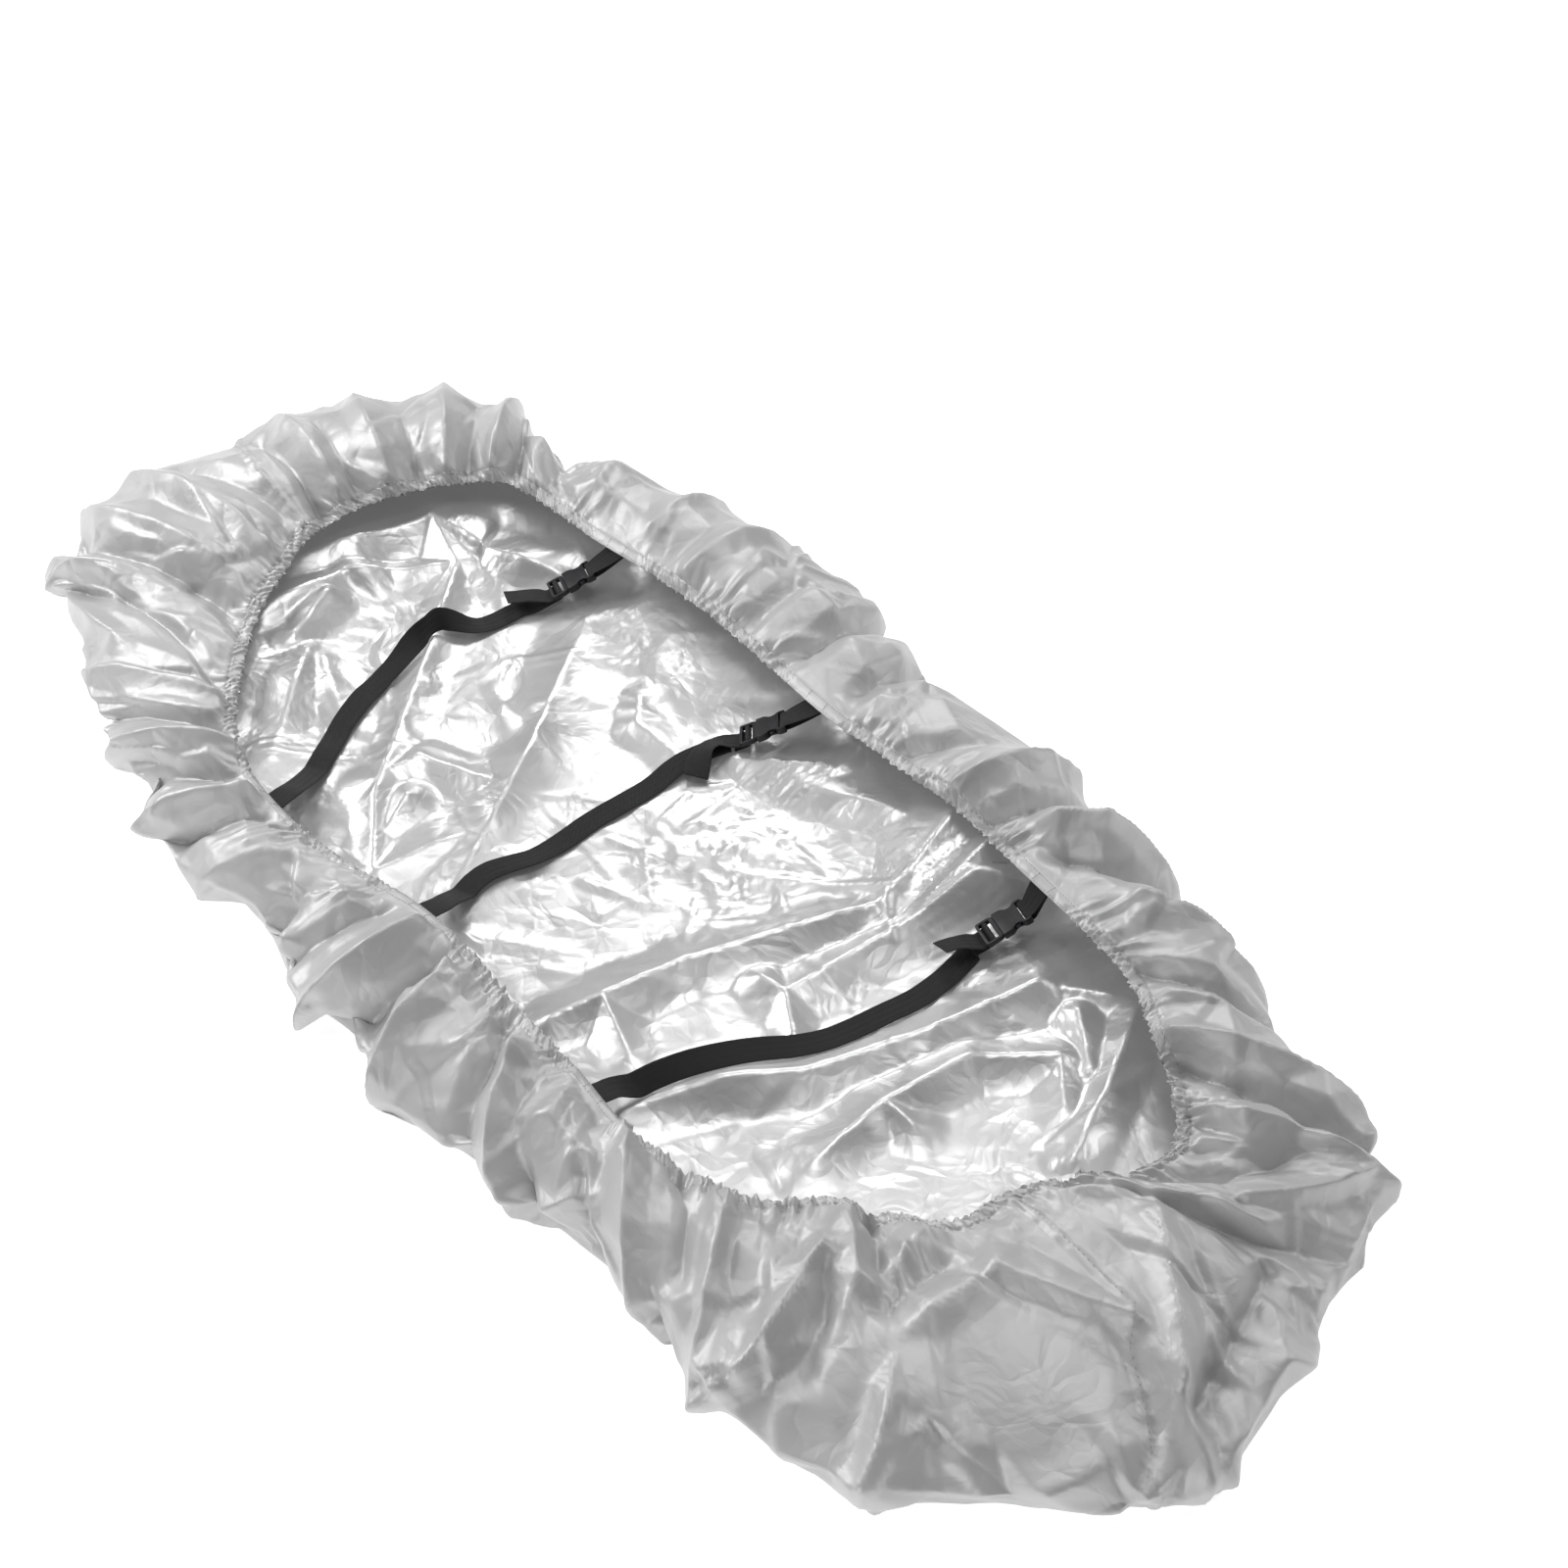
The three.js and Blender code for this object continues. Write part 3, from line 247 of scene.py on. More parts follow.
# Folds of the rim. A place is a section and the share of the way from hem to foot. left and right
# are how far the fold spreads on each side, high is its height at both ends, in mm
rim_folds = table(
    "section_a way_a section_b way_b left right high_a high_b",
    [
        (0.45, 0.52, 0.15, 0.12, 30, 30, -9, -7),
        (0.8, 0.62, 0.9, 0.1, 36, 30, 9, 8),
        (1.45, 0.66, 1.7, 0.12, 45, 45, 16, 8),
        (1.85, 0.62, 2.3, 0.1, 40, 30, -16, -12),
        (2.35, 0.97, 2.35, 0.45, 40, 40, 14, 6),
        (2.75, 0.98, 3.0, 0.6, 40, 30, -20, -8),
        (2.6, 0.72, 3.9, 0.5, 45, 30, 12, 8),
        (3.1, 0.45, 4.3, 0.12, 26, 26, -9, -8),
        (5.25, 0.92, 5.3, 0.1, 30, 24, -14, -10),
        (5.7, 0.9, 5.75, 0.12, 40, 32, 12, 10),
        (6.15, 0.97, 6.4, 0.12, 34, 26, -22, -12),
        (6.65, 0.7, 6.7, 0.15, 30, 30, 13, 8),
        (6.95, 0.62, 7.1, 0.1, 26, 24, -12, -10),
        (7.4, 0.9, 7.7, 0.4, 60, 50, 14, 6),
        (8.4, 0.5, 8.65, 0.97, 34, 28, -12, -20),
        (8.75, 0.78, 9.0, 0.15, 28, 24, -15, -10),
        (9.35, 0.85, 9.55, 0.08, 36, 30, 18, 12),
        (9.25, 1, 9.9, 0.62, 28, 24, -18, -20),
        (9.9, 0.62, 10.0, 0.25, 28, 24, -20, -10),
        (10.1, 0.25, 10.95, 0.97, 36, 24, 14, 12),
        (11.1, 0.15, 12.0, 0.95, 30, 26, -16, -14),
        (11.45, 0.3, 12.75, 0.92, 28, 26, 16, 12),
        (12.35, 0.6, 13.3, 0.97, 28, 24, -15, -18),
        (13.0, 0.15, 14.4, 0.88, 40, 28, 14, 12),
        (13.95, 0.05, 14.35, 0.5, 24, 22, -13, -8),
        (14.2, 0.72, 14.75, 0.97, 28, 24, -13, -16),
        (14.65, 0.12, 15.0, 0.72, 28, 24, 10, 12),
        (15.05, 0.7, 15.9, 0.25, 50, 32, 20, 14),
        (15.2, 0.66, 16.0, 0.38, 32, 50, -7, -14),
        (16.25, 0.1, 16.35, 0.3, 50, 40, 10, 14),
        (16.62, 0.03, 16.58, 0.32, 26, 26, -16, -18),
        (16.6, 0.34, 17.5, 0.17, 28, 28, -14, -10),
        (16.65, 0.4, 18.05, 0.22, 30, 60, 12, 9),
        (18.05, 0.22, 19.0, 0.4, 30, 44, 9, 11),
        (16.65, 0.42, 16.32, 0.66, 24, 60, 12, 17),
        (15.0, 0.61, 17.38, 0.09, 26, 50, 13, 6),
        (19.53, 0.09, 22.3, 0.58, 22, 46, 7, 14),
        (16.42, 0.8, 16.5, 1, 32, 24, 12, 8),
        (16.6, 0.57, 16.86, 0.52, 24, 20, 8, 9),
        (16.86, 0.53, 17.35, 0.64, 20, 30, -10, -6),
        (17.6, 0.63, 18.4, 0.55, 40, 34, 8, 7),
        (19.05, 0.45, 18.75, 0.92, 30, 26, 9, 8),
        (19.1, 0.5, 20.2, 0.25, 45, 36, 16, 10),
        (19.2, 0.55, 20.6, 0.5, 40, 32, -17, -12),
        (19.9, 0.62, 20.5, 0.85, 34, 30, 10, 8),
        (18.95, 0.9, 19.1, 0.74, 28, 24, 9, 9),
        (19.8, 0.03, 20.4, 0.25, 30, 30, -12, -17),
        (20.4, 0.25, 21.0, 0.5, 36, 34, -17, -19),
        (21.0, 0.5, 21.45, 0.78, 38, 34, -19, -6),
        (20.1, 0.1, 20.8, 0.35, 38, 26, 10, 14),
        (20.8, 0.35, 21.5, 0.85, 42, 28, 14, 12),
        (20.8, 0.05, 21.7, 0.3, 30, 30, -12, -16),
        (21.7, 0.3, 22.3, 0.43, 30, 30, -16, -9),
        (22.4, 0.45, 22.2, 0.72, 44, 36, 16, 12),
        (22.6, 0.25, 22.6, 0.36, 45, 40, 13, 10),
        (23.6, 0.08, 23.0, 0.45, 32, 28, -16, -22),
        (23.0, 0.45, 22.25, 1, 36, 32, -22, -18),
        (24.0, 0.1, 23.3, 0.75, 44, 32, 14, 12),
        (25.1, 0.1, 24.7, 0.5, 30, 26, -14, -18),
        (24.7, 0.5, 24.1, 0.85, 30, 28, -18, -15),
        (26.0, 0.3, 25.0, 0.78, 38, 30, 14, 12),
        (27.0, 0.15, 26.3, 0.6, 36, 30, -15, -22),
        (26.3, 0.6, 25.3, 0.92, 36, 32, -22, -16),
        (27.3, 0.28, 26.3, 0.85, 38, 30, 15, 12),
        (27.8, 0.05, 27.4, 0.72, 28, 26, -14, -17),
        (28.3, 0.1, 28.0, 0.65, 34, 30, 10, 12),
        (29.0, 0.08, 28.6, 0.36, 28, 26, -11, -6),
        (30.05, 0.1, 29.95, 0.62, 32, 26, -15, -17),
        (30.85, 0.15, 30.7, 0.78, 36, 28, -19, -17),
        (31.6, 0.08, 31.5, 0.35, 28, 26, -10, -6),
        (32.6, 0.1, 32.3, 0.7, 34, 30, 8, 6),
        (33.4, 0.1, 33.2, 0.6, 30, 28, 8, 6),
        (34.35, 0.25, 34.3, 0.8, 60, 60, 8, 8),
        (35.0, 0.2, 34.9, 0.9, 44, 40, -9, -12),
        (35.95, 0.08, 35.8, 0.55, 28, 26, -12, -10),
        (36.45, 0.08, 36.4, 0.6, 30, 28, 10, 8),
        (36.95, 0.06, 36.9, 0.45, 26, 24, -8, -6),
        (37.4, 0.08, 37.4, 0.6, 34, 30, 10, 8),
        (37.9, 0.05, 37.95, 0.5, 28, 26, -9, -7),
        (38.4, 0.08, 38.4, 0.6, 32, 30, 10, 8),
        (38.9, 0.05, 38.9, 0.4, 26, 24, -8, -6),
        (39.2, 0.1, 39.15, 0.55, 28, 26, 9, 8),
        (39.55, 0.03, 39.45, 0.5, 28, 24, -15, -17),
    ],
)

# Corners of the rim where several folds meet, and how far each stands out of the plain rim in mm
rim_corners = table(
    "section way push",
    [
        (16.53, 0.31, 22), (16.6, 0.35, -7), (16.4, 0.335, -5), (16.76, 0.31, -6), (16.0, 0.25, 10),
        (15.93, 0.29, -6), (16.12, 0.12, 12), (16.5, 0.15, 17), (16.7, 0.1, 5), (16.86, 0.12, -9),
        (16.86, 0.2, -8), (16.65, 0.4, -9), (18.05, 0.22, 12), (17.38, 0.09, 5), (19.03, 0.4, 14),
        (18.8, 0.46, -8), (18.32, 0.54, 10), (17.07, 0.57, 16), (16.65, 0.5, -6), (16.32, 0.66, 15),
        (15.0, 0.61, 14), (18.35, 0.66, 16), (18.78, 0.61, 2), (19.25, 0.64, 13), (20.23, 0.54, 5),
        (22.43, 0.68, 15), (14.48, 0.56, 8), (14.93, 0.38, -8), (2.2, 0.63, 17), (2.27, 0.42, 2),
        (3.7, 0.57, 10), (5.35, 0.67, 14), (6.05, 0.52, -12), (6.1, 0.43, -4), (1.35, 0.17, 3),
        (39.58, 0.22, -4), (39.03, 0.36, 8), (37.55, 0.4, 9), (36.6, 0.5, -6), (23.2, 0.48, 10),
        (22.8, 0.19, 6), (21.95, 0.34, -10), (0.6, 0.62, 9), (39.3, 0.6, 8), (1.3, 0.5, -3),
    ],
)

# Calm places of the rim without a fold of their own, and their reach in mm
rim_calm = table(
    "section way reach",
    [
        (17.8, 0.4, 46), (18.5, 0.31, 34), (17.3, 0.32, 34), (15.8, 0.5, 60), (19.7, 0.62, 62),
        (21.2, 0.74, 60), (0.7, 0.42, 60), (39.7, 0.45, 56), (4.3, 0.5, 50), (35.4, 0.4, 50),
        (33.2, 0.5, 60), (28.9, 0.5, 50), (10.6, 0.55, 42), (13.6, 0.55, 44), (24.6, 0.65, 50),
    ],
)

# Folds of the sheet that lies on the floor, as straight stretches between two places, in mm
floor_folds = table(
    "x_a y_a x_b y_b left right high_a high_b",
    [
        (-608, 167, -636, 65, 40, 30, 22, 16),
        (-636, 65, -659, -24, 34, 26, 16, 10),
        (-531, 147, -600, 30, 34, 24, 20, 16),
        (-600, 30, -610, -98, 30, 24, 16, 12),
        (-608, 167, -515, 188, 34, 28, 22, 18),
        (-515, 188, -400, 240, 34, 26, 18, 12),
        (-608, 167, -531, 147, 40, 34, 22, 22),
        (-531, 147, -456, 55, 26, 20, 22, 14),
        (-456, 55, -364, -57, 26, 20, 14, 16),
        (-364, -57, -260, -184, 28, 20, 16, 18),
        (-260, -184, -169, -255, 28, 20, 18, 14),
        (-551, -94, -582, -18, 26, 26, 12, 18),
        (-520, -93, -405, -226, 28, 26, 14, 6),
        (-503, -84, -393, -131, 28, 26, 12, 4),
        (-331, 195, -248, 71, 60, 40, 14, 20),
        (-248, 71, -192, -10, 44, 28, 20, 22),
        (-192, -10, -92, -188, 44, 34, 22, 12),
        (-283, -170, -278, -104, 30, 26, 14, 14),
        (-278, -104, -194, -62, 30, 26, 14, 10),
        (-206, -221, -234, -155, 28, 26, 10, 16),
        (-166, -251, -155, -174, 40, 32, 14, 12),
        (-155, -174, -137, -106, 32, 30, 12, 6),
        (-190, 167, -155, 134, 28, 26, 10, 12),
        (-155, 134, -63, 134, 28, 26, 12, 6),
        (-27, 181, 59, 248, 28, 26, 10, 8),
        (63, 208, 187, 258, 28, 26, 8, 8),
        (148, -247, 165, -185, 32, 28, 20, 24),
        (165, -185, 184, -78, 36, 32, 24, 20),
        (165, -185, 241, -210, 28, 26, 24, 10),
        (184, -78, 248, 88, 38, 32, 20, 24),
        (248, 88, 267, 139, 34, 32, 24, 22),
        (267, 139, 240, 285, 50, 44, 22, 32),
        (259, -31, 291, -25, 26, 24, 16, 18),
        (291, -25, 345, -60, 26, 24, 18, 14),
        (291, -25, 301, 80, 28, 34, 16, 20),
        (301, 80, 319, 238, 28, 34, 20, 24),
        (319, 238, 363, 281, 26, 30, 24, 20),
        (307, 102, 304, 280, 28, 28, 16, 28),
        (298, -267, 342, -163, 44, 32, 14, 22),
        (342, -163, 391, -90, 40, 32, 22, 20),
        (391, -90, 441, 50, 44, 36, 20, 24),
        (441, 50, 475, 189, 40, 36, 24, 24),
        (478, 193, 554, 257, 26, 24, 14, 12),
        (486, -157, 481, -55, 36, 30, 14, 22),
        (481, -55, 498, 62, 40, 30, 22, 20),
        (498, 62, 561, 136, 36, 30, 20, 18),
        (484, -51, 520, -47, 28, 26, 22, 14),
        (561, 136, 612, 91, 28, 26, 16, 8),
        (530, 196, 592, 152, 28, 26, 18, 12),
        (572, 244, 628, 136, 28, 24, 20, 18),
        (628, 136, 668, 46, 28, 24, 18, 12),
    ],
)


def blend(low, high, value):
    t = np.clip((value - low) / (high - low), 0, 1)
    return t * t * (3 - 2 * t)


def through(a, b, c, d, t):
    """A smooth curve from b to c, with a and d as its neighbours."""
    square, cube = 2 * a - 5 * b + 4 * c - d, 3 * b - a - 3 * c + d
    return 0.5 * (2 * b + (c - a) * t + square * t**2 + cube * t**3)


def guide_points():
    """Seven guides in each section from the hem over the crest to the foot, and one past each end."""
    r = rim_rows

    def share(s, z):
        x = r["hem_x"] + (r["foot_x"] - r["hem_x"]) * s
        y = r["hem_y"] + (r["foot_y"] - r["hem_y"]) * s
        return np.stack([x, y, z + 0 * s], -1)

    crest, high = r["crest_at"], r["crest_z"]
    points = [
        share(0 * crest, r["hem_z"]),
        share(crest * 0.45, r["hem_z"] + (high - r["hem_z"]) * 0.75),
        share(crest, high),
        share(crest + (1 - crest) * 0.66, high * 0.8),
        share(1 + r["bulge"], high * 0.36),
        share(1 + r["bulge"] * 0.55, 8.0),
        share(0.97 + 0 * crest, LYING_HEIGHT),
    ]
    points = [2 * points[0] - points[1], *points, 2 * points[6] - points[5]]
    return np.stack(points, 1)


guides = guide_points()
SPANS = guides.shape[1] - 3


def rim_base(section, way):
    """The unfolded rim: section runs round the cover, way from the hem over the crest to the foot."""
    first = np.floor(section).astype(int)
    t = (section - first)[:, None, None]
    rows = [guides[(first + k) % SECTIONS] for k in (-1, 0, 1, 2)]
    line = through(*rows, t)
    place = np.clip(way, 0, 1) * SPANS
    k = np.minimum(SPANS - 1, np.floor(place).astype(int))
    pick = [line[np.arange(len(k)), k + j] for j in range(4)]
    return through(*pick, (place - k)[:, None])


def crease(along, across, length, left, right, high_a, high_b, hollow=1.3):
    """Height of one fold at places along and across it: a sharp line between nearly flat slopes."""
    t = np.clip(along / length, 0, 1)
    reach = np.where(across > 0, left, right)
    far = np.hypot(across / reach, (along - t * length) / max(left, right))
    return (high_a + (high_b - high_a) * t) * np.clip(1 - far, 0, 1) ** hollow


def rim_frames(section, way):
    """Points of the plain rim with their directions: round the cover, over the rim, and out."""
    step = 0.02
    point = rim_base(section, way)
    round_it = (rim_base(section + step, way) - rim_base(section - step, way)) / (2 * step)
    low, high = np.maximum(0, way - step), np.minimum(1, way + step)
    over = (rim_base(section, high) - rim_base(section, low)) / (high - low)[:, None]
    out = np.cross(over, round_it)
    out /= np.linalg.norm(out, axis=1)[:, None]
    return point, np.linalg.norm(round_it, axis=1), np.linalg.norm(over, axis=1), out


# How many sections beyond its own length a fold is looked for
FOLD_REACH = 2.2


def fold_heights(folds, section, way, long_round, long_over, wider=1.0):
    """Ridges and troughs of a table of rim folds, the tallest of each that meet at a place."""
    ridge, trough = np.zeros(len(section)), np.zeros(len(section))
    for row in zip(*folds.values()):
        s_a, w_a, s_b, w_b, left, right, high_a, high_b = row
        apart = (section - s_a + 1.5 * SECTIONS) % SECTIONS - SECTIONS / 2
        near = np.abs(apart) < abs(s_b - s_a) + FOLD_REACH
        run = np.stack([(s_b - s_a) * long_round[near], (w_b - w_a) * long_over[near]], 1)
        off = np.stack([apart[near] * long_round[near], (way[near] - w_a) * long_over[near]], 1)
        length = np.linalg.norm(run, axis=1)
        along = (off * run).sum(1) / length
        across = (run[:, 0] * off[:, 1] - run[:, 1] * off[:, 0]) / length
        high = crease(along, across, length, left * wider, right * wider, high_a, high_b)
        ridge[near] = np.maximum(ridge[near], high)
        trough[near] = np.minimum(trough[near], high)
    return ridge + trough


# Where webbing is sewn to the hem the cloth stays flat: sections of its seats, left then right
WEB_SEATS = (6.72, 9.2, 12.4, 33.65, 30.25, 26.7)


def freedom(section, way):
    """How free the cloth is to wrinkle, from 0 at the seats to 1."""
    apart = np.min([np.abs(section - seat) for seat in WEB_SEATS], axis=0)
    return np.maximum(blend(0.3, 0.7, apart), blend(0.08, 0.22, way))


# Places along the hem in mm, for gathers and wrinkles that are spaced by length
hem_table = np.linspace(0, SECTIONS, 4001)
hem_spots = rim_base(hem_table, np.zeros(4001))
hem_run = np.concatenate([[0], np.cumsum(np.linalg.norm(np.diff(hem_spots, axis=0), axis=1))])
HEM_LENGTH = hem_run[-1]


def hem_along(section):
    return np.interp(section % SECTIONS, hem_table, hem_run)


def sway(along, step, seed):
    """A smooth random wave round the hem, about -1 to 1, with bends no shorter than step."""
    rng = np.random.default_rng(seed)
    most = int(HEM_LENGTH / step)
    turn = 2 * np.pi * along / HEM_LENGTH
    total = np.zeros(np.shape(along))
    for k in range(1, most + 1):
        total += rng.normal() * np.cos(k * turn + rng.uniform(0, TURN))
    return np.clip(total / math.sqrt(most), -2, 2) * 0.6


def gathers(along, pitch, roundness, seed):
    """Uneven ridges side by side along the hem, each from 0 at its valleys to at most 1."""
    rng = np.random.default_rng(seed)
    gaps = rng.uniform(0.4, 1.6, int(HEM_LENGTH / pitch))
    knots = np.concatenate([[0], np.cumsum(gaps)]) * HEM_LENGTH / gaps.sum()
    highs = rng.uniform(0.15, 1.0, len(gaps))
    spot = along % HEM_LENGTH
    k = np.clip(np.searchsorted(knots, spot, "right") - 1, 0, len(gaps) - 1)
    t = (spot - knots[k]) / (knots[k + 1] - knots[k])
    return highs[k] * (1 - np.abs(2 * t - 1) ** roundness)


def faceted(sites, values):
    """Flat facets between scattered sites: a function that gives the values at any place."""
    found = geometry.delaunay_2d_cdt([Vector(p) for p in sites], [], [], 0, 1e-4)
    where = np.array([origins[0] for origins in found[3]])
    corners = where[np.array(found[2])]
    flat = np.column_stack([sites, np.zeros(len(sites))])
    tree = BVHTree.FromPolygons([Vector(p) for p in flat], corners.tolist())

    def at(x, y):
        down = Vector((0, 0, -1))
        hits = [tree.ray_cast(Vector((a, b, 1.0)), down)[2] for a, b in zip(x, y)]
        assert None not in hits, "a place lies outside the sites"
        tri = corners[np.array(hits)]
        a, b, c = (sites[tri[:, k]] for k in range(3))
        p = np.column_stack([x, y])

        def area(u, v, w):
            one, two = v - u, w - u
            return one[:, 0] * two[:, 1] - two[:, 0] * one[:, 1]

        whole = area(a, b, c)
        shares = np.stack([area(p, b, c), area(a, p, c), area(a, b, p)], 1) / whole[:, None]
        return (values[tri] * shares[:, :, None]).sum(1)

    return at


def spaced(candidates, gaps, taken):
    """Keeps the candidates that stay their own gap away from those kept before and from taken places."""
    kept, chosen = list(taken), []
    for i, (spot, gap) in enumerate(zip(candidates, gaps)):
        near = np.array(kept)
        off = np.hypot(near[:, 0] - spot[0], near[:, 1] - spot[1]) if len(near) else [np.inf]
        if np.min(off) > gap:
            kept.append(spot)
            chosen.append(i)
    return chosen


# The rim's cloth breaks into flat facets with sharp folds between them. Its sites lie along the
# placed folds, at their feet, and scattered in between, closer together next to the hem.
# LONG_ROUND and LONG_OVER: about how many mm a section and a whole way are.
LONG_ROUND = 118.0
LONG_OVER = 330.0
FOLD_STEP = 26
PLACED_GAP = 7.0
LOOSE_SITES = 5200


def rim_facets():
    rng = np.random.default_rng(7)
    section, way, push = [], [], []
    for row in zip(*rim_folds.values()):
        s_a, w_a, s_b, w_b, left, right, high_a, high_b = row
        run = np.array([(s_b - s_a) * LONG_ROUND, (w_b - w_a) * LONG_OVER])
        length = np.linalg.norm(run)
        side = np.array([-run[1], run[0]]) / length
        for t in np.linspace(0, 1, max(2, int(length / FOLD_STEP) + 1)):
            section.append(s_a + (s_b - s_a) * t)
            way.append(w_a + (w_b - w_a) * t)
            push.append((high_a + (high_b - high_a) * t) * 0.85)
        for t, reach, turn in ((0.25, left, 1), (0.75, left, 1), (0.3, right, -1), (0.7, right, -1)):
            off = side * turn * reach * rng.uniform(0.8, 1.15)
            section.append(s_a + (s_b - s_a) * t + off[0] / LONG_ROUND)
            way.append(w_a + (w_b - w_a) * t + off[1] / LONG_OVER)
            push.append(rng.normal(0, 1.5))

    def place(s, w):
        return np.stack([(s % SECTIONS) * LONG_ROUND, w * LONG_OVER], -1)

    section = np.append(rim_corners["section"], section)
    way = np.append(rim_corners["way"], way)
    push = np.append(rim_corners["push"], push)
    way = np.clip(way, 0.03, 0.95)
    keep = spaced(place(section, way), np.full(len(way), PLACED_GAP), [])
    section, way, push = section[keep], way[keep], push[keep]
    s_new, w_new = rng.uniform(0, SECTIONS, LOOSE_SITES), rng.uniform(0.03, 0.95, LOOSE_SITES)
    gaps = 15 + 52 * blend(0.02, 0.4, w_new) * rng.uniform(0.5, 1.3, LOOSE_SITES)
    for s_calm, w_calm, reach in zip(*rim_calm.values()):
        off = np.hypot((s_new - s_calm) * LONG_ROUND, (w_new - w_calm) * LONG_OVER)
        gaps[off < reach] = 1000
    keep = spaced(place(s_new, w_new), gaps, list(place(section, way)))
    section, way = np.append(section, s_new[keep]), np.append(way, w_new[keep])
    loose = rng.normal(0, 1, len(keep)) * (3 + 8 * blend(0.05, 0.4, w_new[keep]))
    push = np.append(push, loose * (1 - 0.5 * blend(0.45, 0.62, w_new[keep])))
    ends = np.arange(0, SECTIONS, 0.125)
    for w in (0.0, 1.0):
        section, way = np.append(section, ends), np.append(way, np.full(len(ends), w))
        push = np.append(push, np.zeros(len(ends)))
    push *= (1 - blend(0.86, 1, way)) * freedom(section, way)
    section = section % SECTIONS
    point, _, _, out = rim_frames(section, way)
    spots = point + out * push[:, None]
    for step in (-SECTIONS, SECTIONS):
        more = np.abs(section[: len(push)] + step - SECTIONS / 2) < SECTIONS / 2 + 2
        section = np.append(section, section[: len(push)][more] + step)
        way = np.append(way, way[: len(push)][more])
        spots = np.concatenate([spots, spots[: len(push)][more]])
    sites = np.stack([section * LONG_ROUND, way * LONG_OVER], 1)
    return faceted(sites, spots)


SHEET_COLUMNS = 1240
SHEET_RINGS = 84
FACET_SHARE = 0.92


def eased(lattice, passes):
    """A lattice of points, closed round, with its sharp lines softened. Its borders stay."""
    for _ in range(passes):
        lattice = (np.roll(lattice, 1, 1) + 2 * lattice + np.roll(lattice, -1, 1)) / 4
        inner = (lattice[:-2] + 2 * lattice[1:-1] + lattice[2:]) / 4
        lattice = np.concatenate([lattice[:1], inner, lattice[-1:]])
    return lattice


def rim_sheet():
    columns = np.arange(SHEET_COLUMNS) * SECTIONS / SHEET_COLUMNS
    s, w = np.meshgrid(columns, np.linspace(0, 1, SHEET_RINGS))
    s, w = s.ravel(), w.ravel()
    plain = rim_base(s, w)
    flat = rim_facets()(s * LONG_ROUND, np.clip(w, 1e-6, 1 - 1e-6) * LONG_OVER)
    share = FACET_SHARE * (1 - blend(0.93, 1, w)) * blend(0, 0.03, w)
    sheet = plain * (1 - share[:, None]) + flat * share[:, None]
    return eased(sheet.reshape(SHEET_RINGS, SHEET_COLUMNS, 3), 1)


sheet = rim_sheet()


def on_sheet(section, way):
    """Places on the faceted rim, read smoothly from its lattice."""
    c = (section % SECTIONS) * SHEET_COLUMNS / SECTIONS
    r = np.clip(way, 0, 1) * (SHEET_RINGS - 1)
    c0, r0 = np.floor(c).astype(int), np.minimum(np.floor(r).astype(int), SHEET_RINGS - 2)
    t, u = (c - c0)[:, None], (r - r0)[:, None]
    rows = []
    for k in (-1, 0, 1, 2):
        row = np.clip(r0 + k, 0, SHEET_RINGS - 1)
        rows.append(through(*[sheet[row, (c0 + j) % SHEET_COLUMNS] for j in (-1, 0, 1, 2)], t))
    return through(*rows, u)


# Creases that nobody placed, long and straight, each steep on one side and wide on the other.
# CREASE_ROUND turns their mm into sections.
CREASE_ROUND = 115


def loose_creases(count, lengths, highs, steep, wide, slant, seed):
    rng = np.random.default_rng(seed)
    rows = []
    for _ in range(count):
        s, w = rng.uniform(0, SECTIONS), rng.uniform(0.08, 0.75)
        length, tilt = rng.uniform(*lengths), rng.normal(0, slant)
        if any(
            math.hypot((s - s_calm) * LONG_ROUND, (w - w_calm) * LONG_OVER) < reach * 1.1
            for s_calm, w_calm, reach in zip(*rim_calm.values())
        ):
            continue
        high = rng.uniform(*highs) * rng.choice([-1, 1])
        sides = rng.permutation([rng.uniform(*steep), rng.uniform(*wide)])
        s_b = s + length * math.sin(tilt) / CREASE_ROUND
        w_b = float(np.clip(w + length * math.cos(tilt) / LONG_OVER, 0.03, 0.93))
        rows.append((s, w, s_b, w_b, *sides, high, high * rng.uniform(0.1, 1)))
    return rows


small_folds = table(
    "section_a way_a section_b way_b left right high_a high_b",
    loose_creases(110, (70, 210), (4, 11), (8, 16), (30, 70), 0.6, 11)
    + loose_creases(220, (25, 90), (1.5, 5), (5, 10), (14, 34), 0.9, 12),
)
# Two seams run from the hem over the rim, one at each end
seams = {
    "near": [(18.95, 0.0), (19.03, 0.21), (19.1, 0.39), (18.85, 0.43), (18.5, 0.6), (18.4, 0.95)],
    "far": [(40.5, 0.0), (39.98, 0.06), (39.95, 0.29), (39.5, 0.64), (39.4, 0.95)],
}


def from_seams(section, way, long_round, long_over):
    """Distance in mm to the nearer seam, and the place along it."""
    best, place = np.full(len(section), 1e3), np.zeros(len(section))
    for path in seams.values():
        for (s_a, w_a), (s_b, w_b) in zip(path, path[1:]):
            apart = (section - s_a + 1.5 * SECTIONS) % SECTIONS - SECTIONS / 2
            near = np.abs(apart) < 2
            run = np.stack([(s_b - s_a) * long_round[near], (w_b - w_a) * long_over[near]], 1)
            off = np.stack([apart[near] * long_round[near], (way[near] - w_a) * long_over[near]], 1)
            t = np.clip((off * run).sum(1) / (run**2).sum(1), 0, 1)
            gap = np.linalg.norm(off - run * t[:, None], axis=1)
            nearer = gap < best[near]
            spots = np.flatnonzero(near)[nearer]
            best[spots] = gap[nearer]
            place[spots] = (w_a + (w_b - w_a) * t[nearer]) * LONG_OVER
    return best, place


HEM_BAND = 16.0


